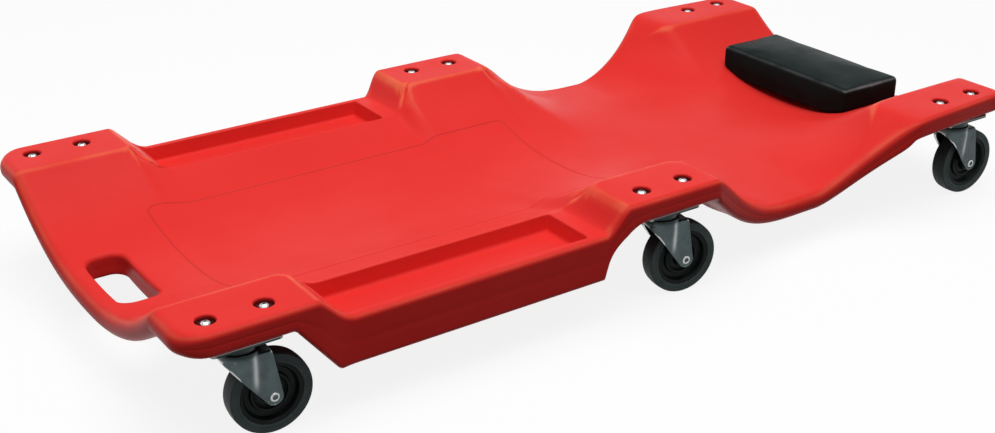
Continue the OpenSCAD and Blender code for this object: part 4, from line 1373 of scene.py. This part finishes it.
class CREEPER_OT_swivels(bpy.types.Operator):
    """Finishes the top plates and the swivel balls"""

    bl_idname = "creeper.swivels"
    bl_label = "Plates and swivels"

    def execute(self, context):
        for name in CASTERS:
            # The plates get the zinc with painted shade.
            coat(frame["nodes"][f"plate_{name}"].data, "dark_zinc")
            coat(frame["nodes"][f"balls_{name}"].data, "bright_steel")
        return {"FINISHED"}


# Fasteners, placed by one tree of geometry nodes


def fastener_tree():
    """Places a fastener at every point, each at its own angle: (tree, identifiers of its inputs)."""
    tree = bpy.data.node_groups.new("Fasteners at points", "GeometryNodeTree")
    kinds = {
        "Places": "Geometry", "Fastener": "Object", "Size": "Float", "Turn": "Float", "Seed": "Int",
        "Finish": "Material",
    }
    sockets = {
        label: tree.interface.new_socket(label, in_out="INPUT", socket_type=f"NodeSocket{kind}").identifier
        for label, kind in kinds.items()
    }
    tree.interface.new_socket("Fasteners", in_out="OUTPUT", socket_type="NodeSocketGeometry")
    n = Nodes(tree)
    given = n.add("NodeGroupInput").outputs
    source = n.add("GeometryNodeObjectInfo", {"Object": given["Fastener"]}, transform_space="ORIGINAL")
    angle = n.add("FunctionNodeRandomValue", {3: given["Turn"], "Seed": given["Seed"]}, data_type="FLOAT")
    turn = n.add("ShaderNodeCombineXYZ", {"Z": angle.outputs[1]})
    copies = n.add("GeometryNodeInstanceOnPoints", {
        "Points": given["Places"],
        "Instance": source.outputs["Geometry"],
        "Rotation": n.add("FunctionNodeEulerToRotation", {0: turn.outputs["Vector"]}).outputs[0],
        "Scale": given["Size"],
    })
    real = n.add("GeometryNodeRealizeInstances", {"Geometry": copies.outputs["Instances"]})
    inputs = {"Geometry": real.outputs["Geometry"], "Material": given["Finish"]}
    coated = n.add("GeometryNodeSetMaterial", inputs)
    n.add("NodeGroupOutput", {"Fasteners": coated.outputs["Geometry"]})
    return tree, sockets


def scatter(tree, sockets, name, pattern, places, slot, turn, seed):
    """One mesh of a fastener repeated at the given places."""
    source = new_object(f"{name}_pattern", pattern)
    mesh = bpy.data.meshes.new(name)
    mesh.from_pydata(places, [], [])
    obj = new_object(name, mesh)
    modifier = modify(obj, "NODES", node_group=tree)
    values = {"Fastener": source, "Size": 1.0, "Turn": turn, "Seed": seed, "Finish": finish(slot)}
    for label, value in values.items():
        modifier[sockets[label]] = value
    settle(obj)
    bpy.data.objects.remove(source)
    smooth(obj.data)
    even_normals(obj)
    return obj


def cross_cutter(f):
    """Two crossed bars that narrow downwards, for the recess in a domed head."""
    size, long, short, narrowed = 0.96 * f.head_d, 0.5, 0.105, 0.62
    bm = bmesh.new()
    for sx, sy in ((long, short), (short, long)):
        for v in bmesh.ops.create_cube(bm, size=1.0)["verts"]:
            low = v.co.z < 0
            length_share = narrowed if low else 1.0
            v.co.x *= sx * size * (length_share if sx > sy else 1)
            v.co.y *= sy * size * (length_share if sy > sx else 1)
            v.co.z = f.head_h * (0.25 if low else 1.4)
    mesh = bpy.data.meshes.new("cross_cutter")
    bm.to_mesh(mesh)
    bm.free()
    return mesh


def bolt_pattern(f, thread_l):
    """A bolt with a domed head and a cross recess, its head's seat at the origin."""
    r, h, shank_r, chamfer = f.head_d / 2, f.head_h, f.bolt_d / 2, 0.7 * MM
    section = [
        (0, -thread_l), (shank_r - chamfer, -thread_l), (shank_r, chamfer - thread_l),
        (shank_r, -0.2 * MM), (r * 0.96, -0.1 * MM), (r, 0.25 * MM),
    ]
    section += [(r * out, h * (0.28 + 0.72 * up)) for up, out in quarter(8)]
    section[-1] = (0, section[-1][1])
    obj = new_object("bolt_blank", turned(section, 48, closed=False))
    cutter = new_object("cross_cutter", cross_cutter(f))
    modify(obj, "BOOLEAN", object=cutter, operation="DIFFERENCE", solver="EXACT", use_self=True)
    mesh = taken(obj)
    bpy.data.objects.remove(cutter)
    mesh.set_sharp_from_angle(angle=math.radians(35))
    return mesh


def nut_pattern(f):
    """A hexagon nut with its corners chamfered on both faces."""
    corner = f.nut_af / 2 / math.cos(math.pi / 6)
    bore = f.bolt_d / 2 + 0.05 * MM
    shell = Shell()

    def hexagon(radius, z):
        ring = []
        for a in np.linspace(0, math.tau, 48, endpoint=False):
            flat = f.nut_af / 2 / math.cos((a + math.pi / 6) % (math.pi / 3) - math.pi / 6)
            size = min(radius, flat)
            ring.append((size * math.cos(a), size * math.sin(a), z))
        return shell.add(ring)

    face_r, chamfer = f.nut_af * 0.47, 0.6 * MM
    loops = [
        hexagon(face_r, -f.nut_h), hexagon(corner, chamfer - f.nut_h), hexagon(corner, -chamfer),
        hexagon(face_r, 0), hexagon(bore, 0), hexagon(bore, -f.nut_h),
    ]
    for a, b in zip(loops, loops[1:] + loops[:1]):
        shell.strip(a, b)
    mesh = shell.mesh("nut")
    mesh.set_sharp_from_angle(angle=math.radians(25))
    return mesh


class CREEPER_OT_fasteners(bpy.types.Operator):
    """Places the bolts, washers and nuts of the casters and their swivel rivets"""

    bl_idname = "creeper.fasteners"
    bl_label = "Fasteners"

    def execute(self, context):
        scene = context.scene
        f, d, c = scene.creeper_fasteners, scene.creeper_deck, scene.creeper_casters
        tree, sockets = fastener_tree()
        spots, pins = bolt_places(d.bolt_spacing), [(x, y) for x, y, _ in SWIVELS.values()]
        seat_z, plate_z = d.mount_h + d.pad_t - d.recess_depth, d.mount_h - c.plate_t
        bolt_l = seat_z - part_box("caster_bolts")[0].z
        low_z, top_z = (corner.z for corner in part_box("kingpins"))
        ring_low, ring_top = (corner.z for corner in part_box("kingpin_washers"))
        crown_z = plate_z - c.dome_depth + c.plate_t
        k, wide, clear, rounding = c.kingpin_d, 0.9 * c.kingpin_d, 0.05 * MM, 0.3 * MM
        rivet = [
            (0, top_z), (k * 0.45, top_z - 0.1 * MM), (k * 0.75, mix(top_z, crown_z, 0.3)),
            (wide, mix(top_z, crown_z, 0.7)), (wide, crown_z), (k / 2, crown_z), (k / 2, ring_low),
            (k * 0.75, ring_low), (k * 0.7, mix(ring_low, low_z, 0.7)), (k * 0.4, low_z), (0, low_z),
        ]

        def washer(inner, outer, top, low):
            corners = [(inner, top), (outer, top), (outer, low), (inner, low)]
            return turned(filleted(corners, rounding, 2), 40)

        plain = washer(f.bolt_d / 2 + clear, f.bolt_d, 0, -f.washer_t)
        ring = washer(k / 2 + clear, k * 1.15, ring_top, ring_low)
        pin = turned(filleted(rivet, 0.4 * MM, 3, closed=False), 40, closed=False)
        jobs = (
            ("caster_bolts", "domed_bolts", bolt_pattern(f, bolt_l), seat_z, spots, "bright_steel"),
            ("caster_washers", "plain_washers", plain, plate_z, spots, "zinc_steel"),
            ("caster_nuts", "hexagon_nuts", nut_pattern(f), plate_z - f.washer_t, spots, "zinc_steel"),
            ("kingpins", "swivel_rivets", pin, 0, pins, "bright_steel"),
            ("kingpin_washers", "rivet_washers", ring, 0, pins, "zinc_steel"),
        )
        for node, name, pattern, z, places, slot in jobs:
            lifted = [(x, y, z) for x, y in places]
            obj = scatter(tree, sockets, name, pattern, lifted, slot, f.turn, f.seed)
            placed(obj, "deck", node)
        return {"FINISHED"}


# Headrest


# Points of a cushion outline: along its long and short sides and round each upright corner
LONG, SHORT, CORNER = 31, 15, 3


def cushion_loop(h, width, depth, corner):
    """One level outline of the cushion, (along, across) from its middle, with its corner seams."""
    loop = []
    seamed = (corner, corner - h.seam, corner)
    for turn in range(4):
        a, b = (depth / 2, width / 2) if turn % 2 == 0 else (width / 2, depth / 2)
        side = [(a, t * (b - corner)) for t in np.linspace(-1, 1, SHORT if turn % 2 else LONG)]
        for angle, size in zip(np.linspace(0, math.pi / 2, CORNER + 2)[1:-1], seamed):
            side.append((a - corner + size * math.cos(angle), b - corner + size * math.sin(angle)))
        c, d = math.cos(turn * math.pi / 2), math.sin(turn * math.pi / 2)
        loop += [(x * c - y * d, x * d + y * c) for x, y in side]
    return np.array(loop)


def cushion_mesh(form, h):
    """The sewn cover before it is filled: flat faces, rounded upper edges and tight upright corners."""
    top, r, shell = form.pad_z - h.rest_drop, h.rest_r, Shell()
    gap_above_board, gap_above_deck, lower_round = 0.05 * MM, 0.5 * MM, 2.5 * MM

    def ring(inset, height):
        """One outline moved in by inset; height takes the floor under it and the crown."""
        corner = max(h.corner_r - 0.4 * inset, 0.6 * MM)
        loop = cushion_loop(h, h.rest_w - 2 * inset, h.rest_l - 2 * inset, corner)
        x, y = loop[:, 0] + cushion_x(form, h), loop[:, 1]
        crown = h.crown * (1 - (y / h.rest_w * 2) ** 2) * (1 - (loop[:, 0] / h.rest_l * 2) ** 2)
        floor = np.maximum(h.board_z + gap_above_board, form.top_z(x, np.abs(y)) + gap_above_deck)
        return shell.add(zip(x, y, height(floor, crown)))

    rings = [
        ring(inset, lambda floor, crown: floor)
        for inset in (*(h.rest_l * part for part in (0.47, 0.4, 0.3, 0.2, 0.1)), 3.5 * MM)
    ]
    rings.append(ring(1.2 * MM, lambda floor, crown: floor + 0.8 * MM))
    for t in np.linspace(0, 0.999, 9):
        rings.append(ring(0, lambda floor, crown: mix(floor + lower_round, top - r, t)))
    for up, out in quarter(6)[1:]:
        rings.append(ring(r * (1 - out), lambda floor, crown: top - r + r * up + crown))
    for part in (0.12, 0.17, 0.23, 0.3, 0.37, 0.43, 0.47):
        rings.append(ring(h.rest_l * part, lambda floor, crown: top + crown))
    for a, b in zip(rings, rings[1:]):
        shell.strip(a, b)
    other = LONG + CORNER + SHORT + CORNER
    for loop in (rings[0], rings[-1]):
        for i in range(LONG - 1):
            facing = other + LONG - 1 - i
            shell.faces.append((loop[i], loop[i + 1], loop[facing - 1], loop[facing]))
        shell.faces.append(tuple(loop[LONG - 1:other + 1]))
        shell.faces.append(tuple(loop[other + LONG - 1:] + loop[:1]))
    return shell.mesh("padded_headrest")


def cushion_x(form, h):
    """The middle of the cushion along the deck."""
    return form.head_x - h.rest_in - h.rest_l / 2


def filled(obj, form, h):
    """Fills the cover by a cloth simulation and gives its fullness back to the sewn shape."""
    copy = new_object("filling", obj.data.copy())
    modify(copy, "REMESH", mode="VOXEL", voxel_size=5 * MM)
    settle(copy)
    rest = [v.co.copy() for v in copy.data.vertices]
    cloth = modify(copy, "CLOTH").settings
    cloth.use_pressure = True
    cloth.uniform_pressure_force = 4
    cloth.effector_weights.gravity = 0
    cloth.quality = 6
    cloth.mass = 0.3
    for frame_number in range(1, 21):
        bpy.context.scene.frame_set(frame_number)
    settle(copy)
    tree = KDTree(len(rest))
    for i, place in enumerate(rest):
        tree.insert(place, i)
    tree.balance()
    moved = [after.co - before for after, before in zip(copy.data.vertices, rest)]
    bpy.data.objects.remove(copy)
    bpy.context.scene.frame_set(1)
    corner_reach, least_hold = 30 * MM, 0.15
    shifts = []
    for v in obj.data.vertices:
        total, weights = Vector(), 0.0
        for _, i, away in tree.find_n(v.co, 8):
            weight = 1 / (away + 2 * MM) ** 2
            total += moved[i] * weight
            weights += weight
        off_x, off_y = abs(v.co.x - cushion_x(form, h)), abs(v.co.y)
        corner = math.hypot(h.rest_l / 2 - off_x, h.rest_w / 2 - off_y)
        floor = max(h.board_z, float(form.top_z(np.array(v.co.x), off_y)))
        hold = mix(least_hold, 1, ease(corner, 0, corner_reach)) * ease(v.co.z - floor, 1 * MM, 14 * MM)
        shifts.append(total / weights * float(hold))
    part = h.fullness / max(shift.length for shift in shifts)
    for v, shift in zip(obj.data.vertices, shifts):
        v.co += shift * part
    obj.data.update()


def rubbed(v, h, top):
    """Painted highlight on the vinyl: most on the upper edges of both ends, less along the sides."""
    side_share, edge_up, edge_spread = 0.25, 0.62, 0.16
    end = ease(abs(v.co.y), h.rest_w / 2 - 1.3 * h.rest_r, h.rest_w / 2 - 0.5 * h.rest_r)
    edge = math.exp(-(((v.normal.z - edge_up) / edge_spread) ** 2)) * (v.co.z > top - 1.3 * h.rest_r)
    return float(mix(side_share, 1, end)) * edge


class CREEPER_OT_headrest(bpy.types.Operator):
    """Builds the padded headrest and finishes its board and screws"""

    bl_idname = "creeper.headrest"
    bl_label = "Headrest"

    def execute(self, context):
        h = context.scene.creeper_headrest
        form = DeckForm(context.scene.creeper_deck)
        obj = new_object("padded_headrest", cushion_mesh(form, h), "black_vinyl")
        filled(obj, form, h)
        modify(obj, "SUBSURF", levels=1, render_levels=1)
        settle(obj)
        top = form.pad_z - h.rest_drop
        mark(obj.data, "rubbed", [rubbed(v, h, top) for v in obj.data.vertices])
        placed(obj, "deck", "headrest_cushion")
        coat(frame["nodes"]["headrest_board"].data, "plywood")
        coat(frame["nodes"]["headrest_screws"].data, "bright_steel")
        return {"FINISHED"}


# Stage


FLOOR_REACH = 12
# Each light's size, place and target in metres
LIGHTS = {
    "overhead": (2.4, (-0.1, -0.22, 2.5), (0, 0, 0.05)),
    "edge_light": (1.6, (-1.6, 1.9, 1.3), (0, 0, 0.1)),
}
CAMERA_PLACE = (-0.8539, -1.1826, 0.6849)
CAMERA_RIGHT = (0.8235, -0.5673, 0)
CAMERA_FORWARD = (0.5144, 0.7465, -0.4221)


def direct_rays(n):
    """1 for rays from the camera, and 1 for rays that come by way of gloss or glass."""
    path = n.add("ShaderNodeLightPath").outputs
    return path["Is Camera Ray"], n.math("MAXIMUM", path["Is Glossy Ray"], path["Is Transmission Ray"])


def stage_material(settings):
    """A pale floor that shows white with the object's shadow, and throws little light back."""
    material = bpy.data.materials.new("Pale floor")
    n = Nodes(cleared(material))
    camera, mirrored_rays = direct_rays(n)
    tint = n.blend(camera, shade(settings.floor, settings.bounce), tuple(settings.floor))
    pale = n.add("ShaderNodeBsdfDiffuse", {"Color": tint}).outputs["BSDF"]
    glow = n.add("ShaderNodeEmission").outputs["Emission"]
    shown = n.math("MAXIMUM", n.times(camera, 1 - settings.shadow), mirrored_rays)
    surface = n.add("ShaderNodeMixShader", {0: shown, 1: pale, 2: glow}).outputs["Shader"]
    n.add("ShaderNodeOutputMaterial", {"Surface": surface})
    return material


def add_light(name, power):
    data = bpy.data.lights.new(name, "AREA")
    data.size, place, target = LIGHTS[name]
    data.energy = power
    data.shape = "SQUARE"
    obj = new_object(name, data)
    obj.location = place
    obj.rotation_euler = (Vector(target) - Vector(place)).to_track_quat("-Z", "Y").to_euler()


def add_camera(lens):
    data = bpy.data.cameras.new("camera")
    data.lens = lens
    data.sensor_width = 36
    data.sensor_fit = "HORIZONTAL"
    obj = new_object("camera", data)
    right, forward = Vector(CAMERA_RIGHT).normalized(), Vector(CAMERA_FORWARD).normalized()
    up = right.cross(forward).normalized()
    turn = Matrix((right, up, -forward)).transposed().to_4x4()
    obj.matrix_world = Matrix.Translation(CAMERA_PLACE) @ turn
    bpy.context.scene.camera = obj


class CREEPER_OT_stage(bpy.types.Operator):
    """Sets the floor, the soft lights and the camera"""

    bl_idname = "creeper.stage"
    bl_label = "Stage"

    def execute(self, context):
        scene = context.scene
        s = scene.creeper_stage
        mesh = bpy.data.meshes.new("studio_floor")
        corners = [(x * FLOOR_REACH, y * FLOOR_REACH, 0) for x, y in ((-1, -1), (1, -1), (1, 1), (-1, 1))]
        mesh.from_pydata(corners, [], [(0, 1, 2, 3)])
        mesh.materials.append(stage_material(s))
        new_object("studio_floor", mesh)
        for name in LIGHTS:
            add_light(name, getattr(s, name))
        scene.world = bpy.data.worlds.new("Studio")
        n = Nodes(cleared(scene.world))
        white = n.math("MAXIMUM", *direct_rays(n))
        inputs = {"Strength": n.math("MAXIMUM", white, s.sky), "Color": (1, 1, 1, 1)}
        background = n.add("ShaderNodeBackground", inputs).outputs["Background"]
        n.add("ShaderNodeOutputWorld", {"Surface": background})
        add_camera(s.lens)
        scene.view_settings.view_transform = "Standard"
        return {"FINISHED"}


class CREEPER_PT_panel(bpy.types.Panel):
    """Lists the creeper's pieces and sizes"""

    bl_label = "Creeper"
    bl_idname = "CREEPER_PT_panel"
    bl_space_type = "VIEW_3D"
    bl_region_type = "UI"
    bl_category = "Creeper"

    def draw(self, context):
        layout = self.layout
        for operator in OPERATORS:
            layout.operator(operator.bl_idname)
        for name, group in SETTINGS.items():
            box = layout.box()
            settings = getattr(context.scene, name)
            for key in group.__annotations__:
                box.prop(settings, key)


OPERATORS = (
    CREEPER_OT_stage,
    CREEPER_OT_deck,
    CREEPER_OT_headrest,
    CREEPER_OT_forks,
    CREEPER_OT_wheels,
    CREEPER_OT_swivels,
    CREEPER_OT_fasteners,
)
SETTINGS = {
    "creeper_deck": CreeperDeckSettings,
    "creeper_casters": CreeperCasterSettings,
    "creeper_fasteners": CreeperFastenerSettings,
    "creeper_headrest": CreeperHeadrestSettings,
    "creeper_stage": CreeperStageSettings,
}


def register():
    for group in SETTINGS.values():
        bpy.utils.register_class(group)
    for name, group in SETTINGS.items():
        setattr(bpy.types.Scene, name, PointerProperty(type=group))
    for operator in OPERATORS:
        bpy.utils.register_class(operator)
    bpy.utils.register_class(CREEPER_PT_panel)


def unregister():
    bpy.utils.unregister_class(CREEPER_PT_panel)
    for operator in reversed(OPERATORS):
        bpy.utils.unregister_class(operator)
    for name, group in SETTINGS.items():
        delattr(bpy.types.Scene, name)
        bpy.utils.unregister_class(group)


def main():
    register()
    for operator in OPERATORS:
        group, name = operator.bl_idname.split(".")
        getattr(getattr(bpy.ops, group), name)()


if __name__ == "__main__":
    main()
